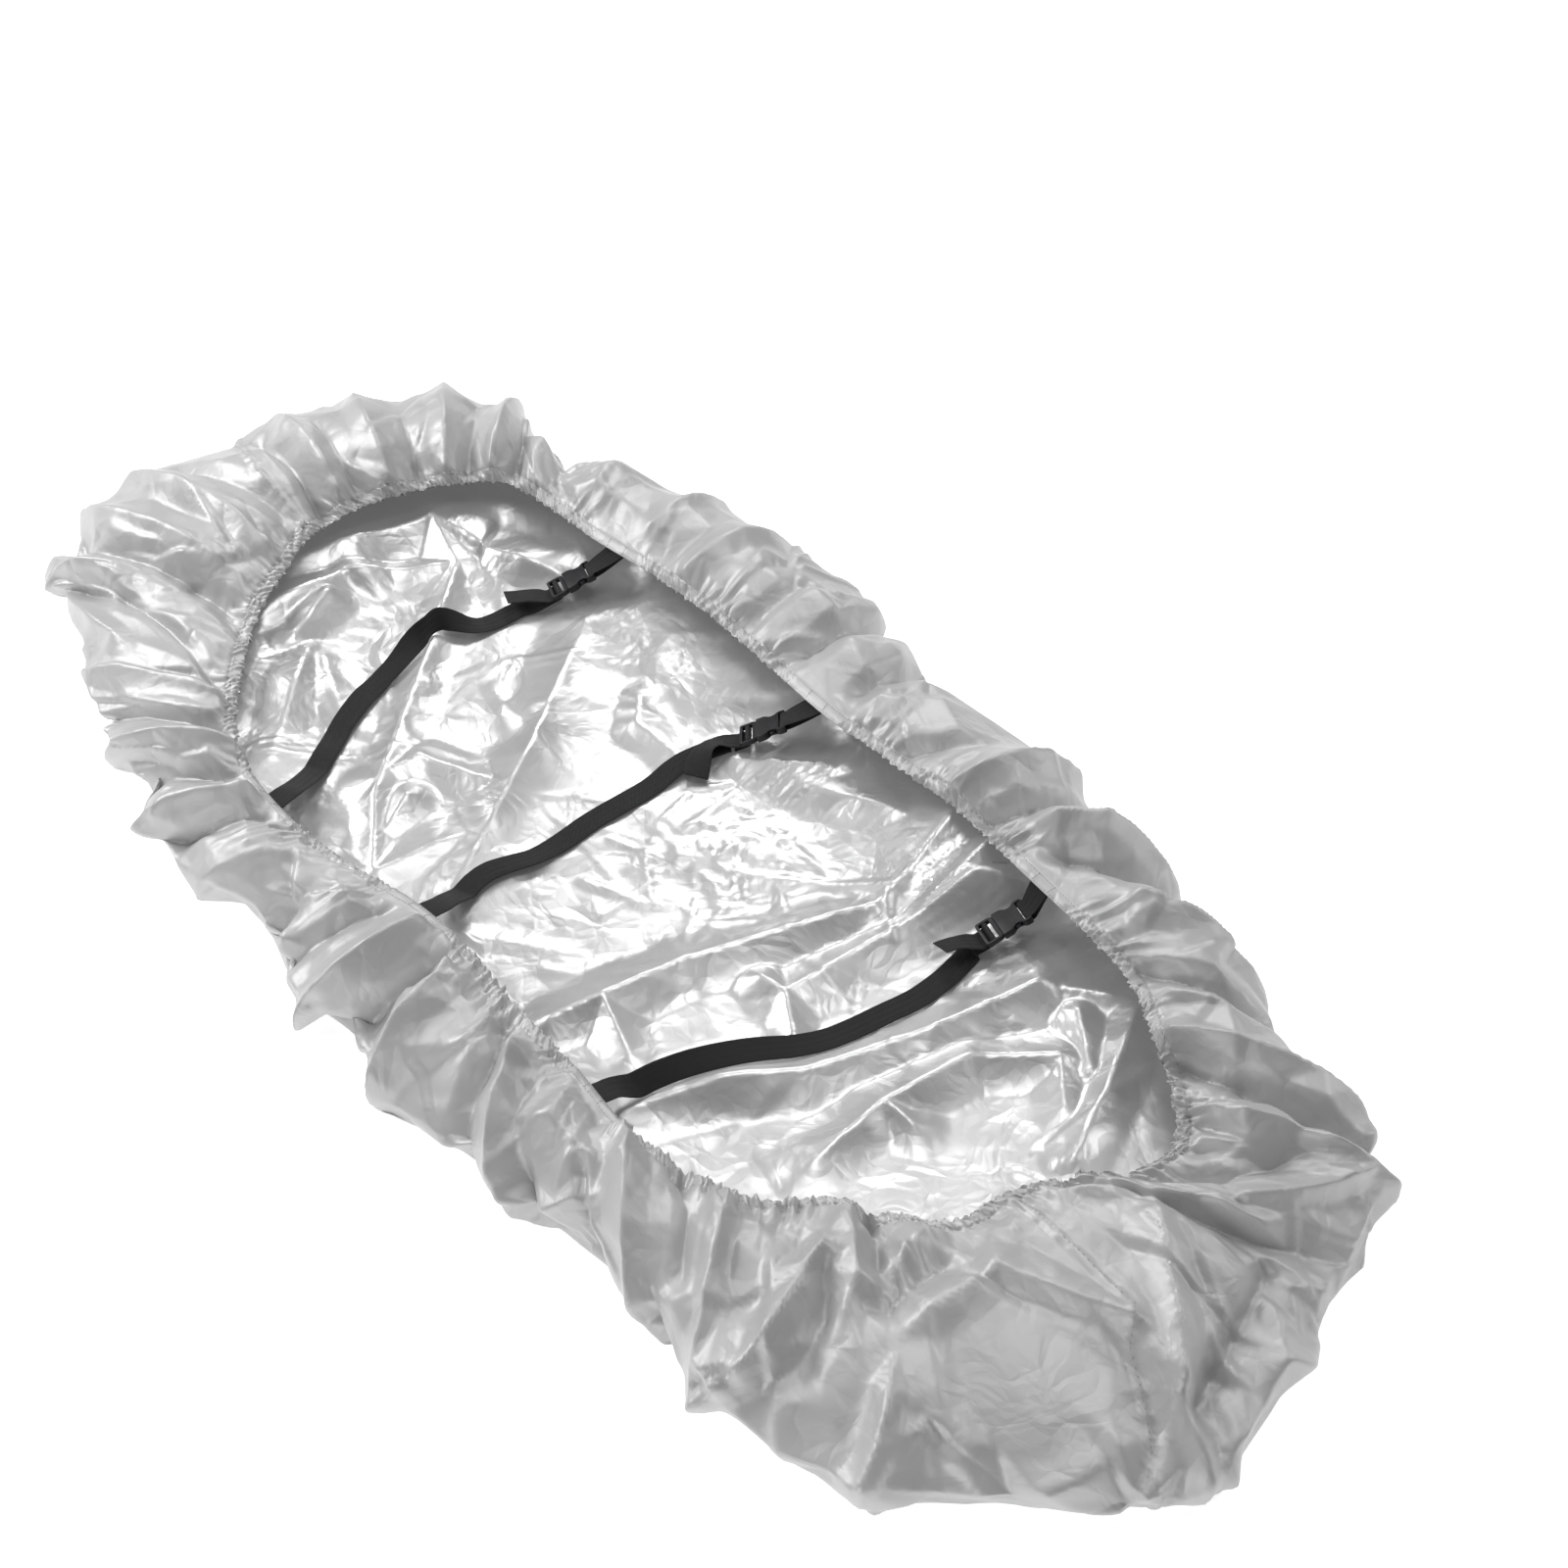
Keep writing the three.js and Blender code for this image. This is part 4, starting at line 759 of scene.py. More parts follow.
def wrinkled_rim(section, way):
    """The rim with all its folds, the gathered band of its hem and the wrinkles that fan out of it."""
    point = on_sheet(section, way)
    _, long_round, long_over, out = rim_frames(section, way)
    free = freedom(section, way)
    bent = section + 0.02 * sway(hem_along(section) + 300 * way, 160, 31)
    low = 1 - blend(0.86, 1, way)
    creases = fold_heights(rim_folds, bent, way, long_round, long_over, 0.9) * 1.05 * low
    creases += fold_heights(small_folds, bent, way, long_round, long_over) * blend(0.04, 0.16, way) * low
    along, up = hem_along(section), way * first_length(section)
    lean = along + up * 0.5 * sway(along, 120, 21)
    calm = 0.3 + 0.7 * np.clip(0.5 + sway(along, 90, 22), 0, 1.6)
    push = creases
    # pitch, roundness, height in mm, and the distances from the hem where it starts and fades
    for pitch, roundness, high, starts, full, fades, ends in (
        (8.5, 1.4, 7.0, -2, -1, 12, 24),
        (15, 1.2, 8.5, 3, 14, 20, 52),
        (31, 1.05, 9.5, 12, 30, 38, 95),
    ):
        share = blend(starts, full, up) * (1 - blend(fades, ends, up))
        wave = gathers(lean + sway(along, 60, int(pitch)) * 6, pitch, roundness, int(pitch * 7))
        push += (wave - 0.45) * high * share * calm
    crossing = gathers(along - up * 0.9 + sway(along, 50, 31) * 5, 7.0, 1.3, 32) - 0.4
    push += crossing * 4.0 * (1 - blend(13, 22, up))
    push *= free
    beside, place = from_seams(section, way, long_round, long_over)
    pucker = np.cos(place * TURN / 17 + np.sin(place * 0.11) * 2) * np.exp(-beside / 14)
    push += 1.6 * (1 - blend(3.5, 5.5, beside)) - 0.8 * np.exp(-(((beside - 6.5) / 2) ** 2)) + 1.1 * pucker
    band = np.clip(1 - np.abs(up - HEM_BAND / 2) / (HEM_BAND / 2), 0, 1) ** 0.5
    push += 1.6 * band - 1.0 * np.exp(-(((up - HEM_BAND) / 1.6) ** 2)) * free
    point = point + out * push[:, None]
    ruffle = (gathers(lean, 9.5, 1.4, 77) - 0.4) * 5.0 * (1 - blend(0, 11, up)) * free
    ahead = on_sheet(section, np.full(len(way), 0.0)) - on_sheet(section, np.full(len(way), 0.04))
    point += ahead / np.linalg.norm(ahead, axis=1)[:, None] * ruffle[:, None]
    point[:, 2] = np.maximum(point[:, 2], 0.4)
    return point


def first_length(section):
    """How long one whole way would be at the pace it has next to the hem, in mm."""
    low = rim_base(section, np.full(len(section), 0.01))
    high = rim_base(section, np.full(len(section), 0.07))
    return np.linalg.norm(high - low, axis=1) / 0.06


# The floor sheet has its own small facets: a crumpled star between the second and third straps,
# and fine ones scattered between the folds
STAR = (91, 64)
STAR_REACH = 105


def floor_facets():
    rng = np.random.default_rng(19)
    star = np.array(STAR) + rng.normal(size=(300, 2)) * 46
    wide = rng.uniform((-1050, -520), (1050, 520), (2600, 2))
    spots = np.concatenate([star, wide])
    gaps = np.concatenate([np.full(len(star), 10.0), rng.uniform(24, 70, len(wide))])
    spots = spots[spaced(spots, gaps, [])]
    high = rng.uniform(0, 1, len(spots)) ** 1.5 * 2.4
    star = np.hypot(*(spots - STAR).T) < STAR_REACH
    high[star] = rng.uniform(0, 4.2, star.sum())
    corners = np.array([(x, y) for x in (-1300, 1300) for y in (-800, 800)], float)
    return faceted(np.concatenate([spots, corners]), np.append(high, np.zeros(4))[:, None])


def long_wrinkles(count, middle, spread, lengths, reaches, highs, seed):
    """Straight fine ridges on the floor sheet, scattered about a middle, as rows like floor_folds."""
    rng = np.random.default_rng(seed)
    rows = []
    for _ in range(count):
        x, y = np.array(middle) + rng.normal(size=2) * spread
        turn, length = rng.uniform(0, TURN), rng.uniform(*lengths)
        reach, high = rng.uniform(*reaches), rng.uniform(*highs)
        ahead = length * np.array([math.cos(turn), math.sin(turn)])
        sides = reach, reach * rng.uniform(0.5, 2)
        rows.append((x, y, x + ahead[0], y + ahead[1], *sides, high, high * rng.uniform(0.2, 1)))
    return rows


floor_wrinkles = table(
    "x_a y_a x_b y_b left right high_a high_b",
    long_wrinkles(100, (0, 0), (430, 160), (70, 260), (8, 24), (0.8, 2.8), 41)
    + long_wrinkles(60, STAR, (60, 60), (30, 90), (5, 10), (1.2, 3.0), 42),
)


# Under the far side and the ends the cloth is bunched up, so the sheet rises to the hem there. It
# rises less beside the webbing, which holds it down. WEB_ENDS: where each buckle's plug ends.
WEB_ENDS = ((-402, 198), (-45, 205), (384, 190))
SWELL = 27.0


def plan_tree(spots):
    """A tree that finds the nearest of many places in plan."""
    tree = KDTree(len(spots))
    for i, spot in enumerate(spots):
        tree.insert((spot[0], spot[1], 0), i)
    tree.balance()
    return tree


def bunched(x, y):
    """How high the floor sheet swells beside the hem, in mm."""
    s = np.arange(0, SECTIONS, 0.1)
    hem = rim_base(s, np.zeros(len(s)))[:, :2]
    out = rim_base(s, np.ones(len(s)))[:, :2] - hem
    out /= np.linalg.norm(out, axis=1)[:, None]
    tree = plan_tree(hem)
    i = np.array([tree.find((a, b, 0))[1] for a, b in zip(x, y)])
    beyond = ((np.column_stack([x, y]) - hem[i]) * out[i]).sum(1)
    run = hem_along(s[i])
    high = (SWELL + 9 * sway(run, 140, 61)) * blend(0.0, 0.5, out[i] @ (-0.77, 0.64))
    high *= blend(-118, 14, beyond + 22 * sway(run, 100, 62))
    for end, seat in zip(WEB_ENDS, WEB_SEATS[3:]):
        a, b = np.array(end), rim_base(np.array([seat]), np.zeros(1))[0, :2]
        t = np.clip((np.column_stack([x, y]) - a) @ (b - a) / ((b - a) @ (b - a)), 0, 1)
        gap = np.hypot(x - a[0] - t * (b - a)[0], y - a[1] - t * (b - a)[1])
        high *= 0.25 + 0.75 * blend(22, 70, gap)
    return high


def floor_height(x, y, from_foot):
    """Height of the floor sheet: its placed folds, fine wrinkles, facets and long waves."""
    ridge, small = np.zeros(len(x)), np.zeros(len(x))
    for kind, total, wide, hollow in ((floor_folds, ridge, 1.55, 1.35), (floor_wrinkles, small, 1, 1.2)):
        for x_a, y_a, x_b, y_b, left, right, high_a, high_b in zip(*kind.values()):
            run = np.array([x_b - x_a, y_b - y_a])
            length = math.hypot(*run)
            reach = length / 2 + max(left, right) * wide
            near = np.hypot(x - (x_a + x_b) / 2, y - (y_a + y_b) / 2) < reach
            off_x, off_y = x[near] - x_a, y[near] - y_a
            along = (off_x * run[0] + off_y * run[1]) / length
            across = (run[0] * off_y - run[1] * off_x) / length
            fold = crease(along, across, length, left * wide, right * wide, high_a, high_b, hollow)
            total[near] = np.maximum(total[near], fold)
    facets = floor_facets()
    high = facets(x, y)[:, 0] / 4
    for turn in range(6):
        angle = turn * math.pi / 3
        high += facets(x + 3 * math.cos(angle), y + 3 * math.sin(angle))[:, 0] / 8
    rolling = np.zeros(len(x))
    rng = np.random.default_rng(17)
    for wave_length, height in ((420, 2.4), (260, 1.8), (170, 1.2), (110, 0.7)):
        for _ in range(5):
            way = rng.uniform(0, TURN)
            phase = (x * math.cos(way) + y * math.sin(way)) * TURN / wave_length + rng.uniform(0, TURN)
            rolling += height / 2.2 * np.cos(phase)
    rolling = np.maximum(rolling + 1.0, 0)
    folds = (ridge + small + high + rolling) * blend(6, 50, from_foot)
    return FOOT_HEIGHT + folds + bunched(x, y) * blend(4, 60, from_foot)


# The floor sheet's mesh: a lattice of triangles inside the foot of the rim, and its spacing in mm
SPACING = 9.2


def floor_mesh(foot_points):
    """A triangle lattice inside the foot of the rim, with the foot points first."""
    foot = foot_points[:, :2]
    count = len(foot)
    low, high = foot.min(0), foot.max(0)
    rows = np.arange(low[1], high[1], SPACING * 0.866)
    lattice = []
    for k, y in enumerate(rows):
        x = np.arange(low[0] + (k % 2) * SPACING / 2, high[0], SPACING)
        lattice.append(np.stack([x, np.full(len(x), y)], 1))
    lattice = np.concatenate(lattice)
    lattice += np.random.default_rng(4).uniform(-0.6, 0.6, lattice.shape)
    closed = np.roll(foot, -1, 0)
    inside = np.zeros(len(lattice), bool)
    for (x0, y0), (x1, y1) in zip(foot, closed):
        crossing = (y0 > lattice[:, 1]) != (y1 > lattice[:, 1])
        x = x0 + (lattice[:, 1] - y0) * (x1 - x0) / (y1 - y0 if y1 != y0 else 1)
        inside ^= crossing & (lattice[:, 0] < x)
    gap = np.min([np.hypot(*(lattice - spot).T) for spot in foot], axis=0)
    keep = inside & (gap > SPACING * 0.6)
    lattice, gap = lattice[keep], gap[keep]
    plan = np.concatenate([foot, lattice])
    edges = [(i, (i + 1) % count) for i in range(count)]
    found = geometry.delaunay_2d_cdt([Vector(p) for p in plan], edges, [], 1, 1e-4)
    assert len(found[0]) == len(plan)
    where = np.array([origins[0] for origins in found[3]])
    faces = where[np.array(found[2])]
    return np.column_stack([lattice, np.full(len(lattice), FOOT_HEIGHT)]), faces


def finer(points, faces):
    """One step of smooth subdivision: each triangle in four, the old points eased."""
    edges = np.sort(faces[:, [[0, 1], [1, 2], [2, 0]]].reshape(-1, 2), axis=1)
    edge, of_face = np.unique(edges, axis=0, return_inverse=True)
    of_face = of_face.reshape(-1, 3)
    opposite = faces[:, [2, 0, 1]]
    across, shared = np.zeros((len(edge), 3)), np.zeros(len(edge), int)
    np.add.at(across, of_face.ravel(), points[opposite.ravel()])
    np.add.at(shared, of_face.ravel(), 1)
    middle = points[edge].sum(1) / 2
    inner = shared == 2
    middle[inner] = points[edge[inner]].sum(1) * 3 / 8 + across[inner] / 8
    around, count = np.zeros_like(points), np.zeros(len(points))
    for a, b in ((0, 1), (1, 0)):
        np.add.at(around, edge[inner, a], points[edge[inner, b]])
        np.add.at(count, edge[inner, a], 1)
    rim = np.zeros(len(points), bool)
    rim[edge[~inner].ravel()] = True
    share = np.where(count > 3, 3 / (8 * np.maximum(count, 1)), 3 / 16)
    softened = points * (1 - count * share)[:, None] + around * share[:, None]
    softened[rim] = points[rim]
    m = of_face + len(points)
    a, b, c = faces.T
    ab, bc, ca = m.T
    new = np.concatenate([np.stack(t, 1) for t in ((a, ab, ca), (ab, b, bc), (ca, bc, c), (ab, bc, ca))])
    return np.concatenate([softened, middle]), new, edge, ~inner


# The cover's pieces.
# One cloth, but it is made here as its gathered hem, the two halves of its rim and its floor
# sheet, each with an outer and an inner skin that meet at their borders.
def sheet_object(name, points, faces, slots, normals=None):
    mesh = bpy.data.meshes.new(name)
    mesh.from_pydata(points.tolist(), [], faces)
    mesh.shade_smooth()
    mesh.materials.append(polyester_taffeta)
    mesh.materials.append(silver_coating)
    mesh.polygons.foreach_set("material_index", slots)
    if normals is not None:
        mesh.normals_split_custom_set_from_vertices(normals.tolist())
    piece = bpy.data.objects.new(name, mesh)
    scene.collection.objects.link(piece)
    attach(piece, "root")
    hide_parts("cover")
    return piece


def rim_lattice(section, way):
    """Points and outward normals in metres over a lattice of sections and ways."""
    rings, columns = section.shape
    flat = wrinkled_rim(section.ravel(), way.ravel())
    points = ((flat + PLAN_SHIFT) * MM).reshape(rings, columns, 3)
    round_it = np.gradient(points, axis=1)
    over = np.gradient(points, axis=0)
    normals = np.cross(over, round_it)
    return points, normals / np.linalg.norm(normals, axis=2)[:, :, None]


def rim_piece(name, points, normals, thick):
    """A two-skinned piece from a lattice, closed along its four borders."""
    rings, columns = points.shape[:2]
    r, c = np.meshgrid(np.arange(rings - 1), np.arange(columns - 1), indexing="ij")
    a = (r * columns + c).ravel()
    outer = np.stack([a, a + columns, a + columns + 1, a + 1], 1)
    inner_points = points - normals * thick * MM
    inner_points[:, :, 2] = np.maximum(inner_points[:, :, 2], 0.0002)
    first = rings * columns
    inner = outer[:, ::-1] + first
    loop = list(range(columns)) + [k * columns + columns - 1 for k in range(1, rings)]
    loop += [(rings - 1) * columns + k for k in range(columns - 2, -1, -1)]
    loop += [k * columns for k in range(rings - 2, 0, -1)]
    border = [(a, b, first + b, first + a) for a, b in zip(loop, loop[1:] + loop[:1])]
    faces = outer.tolist() + inner.tolist() + border
    slots = [0] * len(outer) + [1] * len(inner) + [0] * len(border)
    everything = np.concatenate([points.reshape(-1, 3), inner_points.reshape(-1, 3)])
    shading = np.concatenate([normals.reshape(-1, 3), -normals.reshape(-1, 3)])
    return sheet_object(name, everything, faces, slots, shading)


# Distances in mm from the hem's edge to its rings. The rim begins at the last but one, and the last
# only serves the normals
HEM_STEPS = [0, 0.7, 1.8, 3.2, 5, 7, 9, 11, 12.8, 14, 15, 16.2, 18, 20.5, 23.5, 27, 31, 35.5, 40, 45]
HEM_COLUMNS = 1860
RIM_COLUMNS = 1240
RIM_RINGS = 77
HEM_MEETS_RIM = 18
HEM_THICK, RIM_THICK, FLOOR_THICK = 2.2, 1.6, 1.4
FOOT_MARGIN = 4.5

section = np.arange(-1, HEM_COLUMNS + 2) * SECTIONS / HEM_COLUMNS
pace = first_length(section)
way = np.array(HEM_STEPS)[:, None] / pace
hem_points, hem_normals = rim_lattice(np.tile(section, (len(HEM_STEPS), 1)), way)
hem_points, hem_normals = hem_points[:-1, 1:-1], hem_normals[:-1, 1:-1]
cover_hem = rim_piece("cover_hem", hem_points, hem_normals, HEM_THICK)

section = np.arange(-1, RIM_COLUMNS + 2) * SECTIONS / RIM_COLUMNS
start = HEM_STEPS[HEM_MEETS_RIM] / first_length(section)
share = np.arange(-1, RIM_RINGS)[:, None] / (RIM_RINGS - 1)
way = start + (1 - start) * share
rim_points, rim_normals = rim_lattice(np.tile(section, (RIM_RINGS + 1, 1)), way)
rim_points, rim_normals = rim_points[1:, 1:-1], rim_normals[1:, 1:-1]
half = RIM_COLUMNS // 2
near_part = rim_points[:, : half + 1], rim_normals[:, : half + 1]
cover_near_rim = rim_piece("cover_near_rim", *near_part, RIM_THICK)
cover_far_rim = rim_piece("cover_far_rim", rim_points[:, half:], rim_normals[:, half:], RIM_THICK)

foot = rim_points[-1, :-1:2] / MM - PLAN_SHIFT
foot[:, 2] = FOOT_HEIGHT
floor_points, floor_faces = floor_mesh(foot)
top = np.concatenate([foot, floor_points])
fine, fine_faces, edge, at_border = finer(top, floor_faces)
foot_tree = plan_tree(foot)
gap = np.array([foot_tree.find((p[0], p[1], 0))[2] for p in fine])
inner = gap > FOOT_MARGIN
fine[inner, 2] = floor_height(fine[inner, 0], fine[inner, 1], gap[inner])
fine = (fine + PLAN_SHIFT) * MM
under = fine[: len(top)].copy()
under[:, 2] = np.maximum(under[:, 2] - FLOOR_THICK * MM, 0.3 * MM)
first = len(fine)
border = []
middle = {tuple(pair): len(top) + i for i, pair in enumerate(edge) if at_border[i]}
for face in floor_faces:
    for a, b in ((face[0], face[1]), (face[1], face[2]), (face[2], face[0])):
        m = middle.get((min(a, b), max(a, b)))
        if m is not None:
            border += [(b, m, first + b), (m, a, first + a), (m, first + a, first + b)]
faces = fine_faces.tolist() + (floor_faces[:, ::-1] + first).tolist() + border
slots = [1] * len(fine_faces) + [0] * (len(floor_faces) + len(border))
cover_floor = sheet_object("cover_floor", np.concatenate([fine, under]), faces, slots)
lying_tree = BVHTree.FromPolygons([Vector(p) for p in fine], fine_faces.tolist())

# The stitching.
# Lockstitch in grey polyester thread: two rows along the hem that close its band over the elastic,
# two short rows where each webbing is sewn on, and one row beside each end seam. Coarser than real.
polyester_thread, tree, shader = material("polyester_thread")
where = add(tree, "ShaderNodeTexCoord").outputs["Object"]
cloudy = add(tree, "ShaderNodeTexNoise", {"Vector": where, "Scale": 60.0, "Detail": 2.0}).outputs["Fac"]
tree.links.new(ramp(tree, cloudy, "8F9194", "ABADB0"), shader.inputs["Base Color"])
plies = add(tree, "ShaderNodeTexWave", {"Vector": where, "Scale": 900.0}, bands_direction="DIAGONAL")
twist = add(tree, "ShaderNodeBump", {"Height": plies.outputs["Fac"], "Distance": 0.0001, "Strength": 0.5})
tree.links.new(twist.outputs["Normal"], shader.inputs["Normal"])
shader.inputs["Roughness"].default_value = 0.6
shader.inputs["Sheen Weight"].default_value = 0.2

# SEAM_ROUND turns sections into mm, for the number of stitches in a seam
STITCH_PITCH = 4.6
HEM_ROWS = (2.8, 13.6)
SHORT_ROW = (4.6, 8.2, 11.8)
ROW_FROM_SEAT = 0.13
SEAM_ROUND = 110
STITCH_LENGTH, STITCH_THICK, STITCH_LIFT = 3.1, 0.75, 0.25


def stitch_places():
    """Sections and ways of all the stitches, each with a second place a little ahead of it."""
    runs = np.arange(0, HEM_LENGTH - STITCH_PITCH / 2, STITCH_PITCH)
    round_it = np.interp(runs, hem_run, hem_table)
    rows = []
    for up in HEM_ROWS:
        rows.append((round_it, up / first_length(round_it), 0.02, 0.0))
    for seat in WEB_SEATS:
        for side in (-ROW_FROM_SEAT, ROW_FROM_SEAT):
            s = np.full(len(SHORT_ROW), seat + side)
            rows.append((s, np.array(SHORT_ROW) / first_length(s), 0.0, 0.01))
    for path in seams.values():
        for (s_a, w_a), (s_b, w_b) in zip(path[:-1], path[1:-1]):
            length = math.hypot((s_b - s_a) * SEAM_ROUND, (w_b - w_a) * LONG_OVER)
            t = np.arange(0, 1, STITCH_PITCH / length)
            s, w = s_a + (s_b - s_a) * t + 0.02, np.maximum(w_a + (w_b - w_a) * t, 0.055)
            rows.append((s, w, (s_b - s_a) * 0.02, (w_b - w_a) * 0.02))
    columns = ([np.broadcast_to(row[k], row[0].shape) for row in rows] for k in range(4))
    s, w, ds, dw = (np.concatenate(column) for column in columns)
    return s % SECTIONS, w, ds, dw


s, w, ds, dw = stitch_places()
spots, ahead = wrinkled_rim(s, w), wrinkled_rim((s + ds) % SECTIONS, w + dw)
out = rim_frames(s, w)[3]
run = ahead - spots
run /= np.linalg.norm(run, axis=1)[:, None]
mesh = bpy.data.meshes.new("stitching")
mesh.from_pydata(((spots + out * STITCH_LIFT + PLAN_SHIFT) * MM).tolist(), [], [])
for name, values in (("run", run), ("out", out)):
    attribute = mesh.attributes.new(name, "FLOAT_VECTOR", "POINT")
    attribute.data.foreach_set("vector", values.ravel().astype(np.float32))
places = bpy.data.objects.new("stitch_places", mesh)
scene.collection.objects.link(places)

sewing = bpy.data.node_groups.new("sewing", "GeometryNodeTree")
sewing.interface.new_socket("Geometry", in_out="INPUT", socket_type="NodeSocketGeometry")
inputs = {}
for name in ("Length", "Thickness"):
    inputs[name] = sewing.interface.new_socket(name, in_out="INPUT", socket_type="NodeSocketFloat").identifier
sewing.interface.new_socket("Geometry", in_out="OUTPUT", socket_type="NodeSocketGeometry")
given = add(sewing, "NodeGroupInput").outputs
bead = add(sewing, "GeometryNodeMeshIcoSphere", {"Radius": 0.5, "Subdivisions": 1})
measures = {"X": given["Length"], "Y": given["Thickness"], "Z": given["Thickness"]}
size = add(sewing, "ShaderNodeCombineXYZ", measures)
bead_to_size = {"Geometry": bead.outputs["Mesh"], "Scale": size.outputs["Vector"]}
shaped = add(sewing, "GeometryNodeTransform", bead_to_size)


def carried(name):
    """A direction that the place of each stitch carries."""
    node = add(sewing, "GeometryNodeInputNamedAttribute", {"Name": name}, data_type="FLOAT_VECTOR")
    return node.outputs["Attribute"]


run_of, out_of = carried("run"), carried("out")
lengthwise = add(sewing, "FunctionNodeAlignEulerToVector", {"Vector": run_of}, axis="X")
flat_on = add(
    sewing,
    "FunctionNodeAlignEulerToVector",
    {"Rotation": lengthwise.outputs["Rotation"], "Vector": out_of},
    axis="Z",
    pivot_axis="X",
)
spread = {"Min": (0.8, 0.8, 0.8), "Max": (1.15, 1.1, 1.1), "Seed": 5}
uneven = add(sewing, "FunctionNodeRandomValue", spread, data_type="FLOAT_VECTOR")
sewn = add(
    sewing,
    "GeometryNodeInstanceOnPoints",
    {
        "Points": given["Geometry"],
        "Instance": shaped.outputs["Geometry"],
        "Rotation": flat_on.outputs["Rotation"],
        "Scale": uneven.outputs["Value"],
    },
)
real = add(sewing, "GeometryNodeRealizeInstances", {"Geometry": sewn.outputs["Instances"]})
thread_on = {"Geometry": real.outputs["Geometry"], "Material": polyester_thread}
dressed = add(sewing, "GeometryNodeSetMaterial", thread_on)
add(sewing, "NodeGroupOutput", {"Geometry": dressed.outputs["Geometry"]})

modifier = places.modifiers.new("sewing", "NODES")
modifier.node_group = sewing
modifier[inputs["Length"]] = STITCH_LENGTH * MM
modifier[inputs["Thickness"]] = STITCH_THICK * MM
depsgraph = bpy.context.evaluated_depsgraph_get()
mesh = bpy.data.meshes.new_from_object(places.evaluated_get(depsgraph))
mesh.name = "stitching"
mesh.shade_smooth()
bpy.data.objects.remove(places)
stitching = bpy.data.objects.new("stitching", mesh)
scene.collection.objects.link(stitching)
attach(stitching, "root")

# Polypropylene webbing: black and dull, in a herringbone weave that repeats every 7.5 mm across.
# Its yarns have a pitch of 2 mm, coarser than real, so that they show.
HALF_REPEAT = 0.00375
YARN_PHASE = 3141.6  # radians in a metre
polypropylene_webbing, tree, shader = material("polypropylene_webbing")
weave = add(tree, "ShaderNodeUVMap", uv_map="weave").outputs["UV"]
parts = add(tree, "ShaderNodeSeparateXYZ", {"Vector": weave})
zigzag = add(tree, "ShaderNodeMath", {0: parts.outputs["Y"], 1: HALF_REPEAT}, operation="PINGPONG")
slanted = add(tree, "ShaderNodeMath", {0: parts.outputs["X"], 1: zigzag.outputs[0]}, operation="ADD")
rows = add(tree, "ShaderNodeMath", {0: slanted.outputs[0], 1: YARN_PHASE}, operation="MULTIPLY")
yarns = add(tree, "ShaderNodeMath", {0: rows.outputs[0]}, operation="SINE")
lifted = add(tree, "ShaderNodeMapRange", {"Value": yarns.outputs[0], "From Min": -1.0})
# Painted light and shade: the black is a little lighter on the tops of the yarns and darker in the grooves
# between them
black = ramp(tree, lifted.outputs["Result"], "050506", "111213", (0.1, 0.9))
tree.links.new(black, shader.inputs["Base Color"])
raised = {"Height": lifted.outputs["Result"], "Distance": 0.0005, "Strength": 0.8}
woven = add(tree, "ShaderNodeBump", raised)
tree.links.new(woven.outputs["Normal"], shader.inputs["Normal"])
shader.inputs["Roughness"].default_value = 0.72
shader.inputs["Sheen Weight"].default_value = 0.08
shader.inputs["Sheen Roughness"].default_value = 0.5

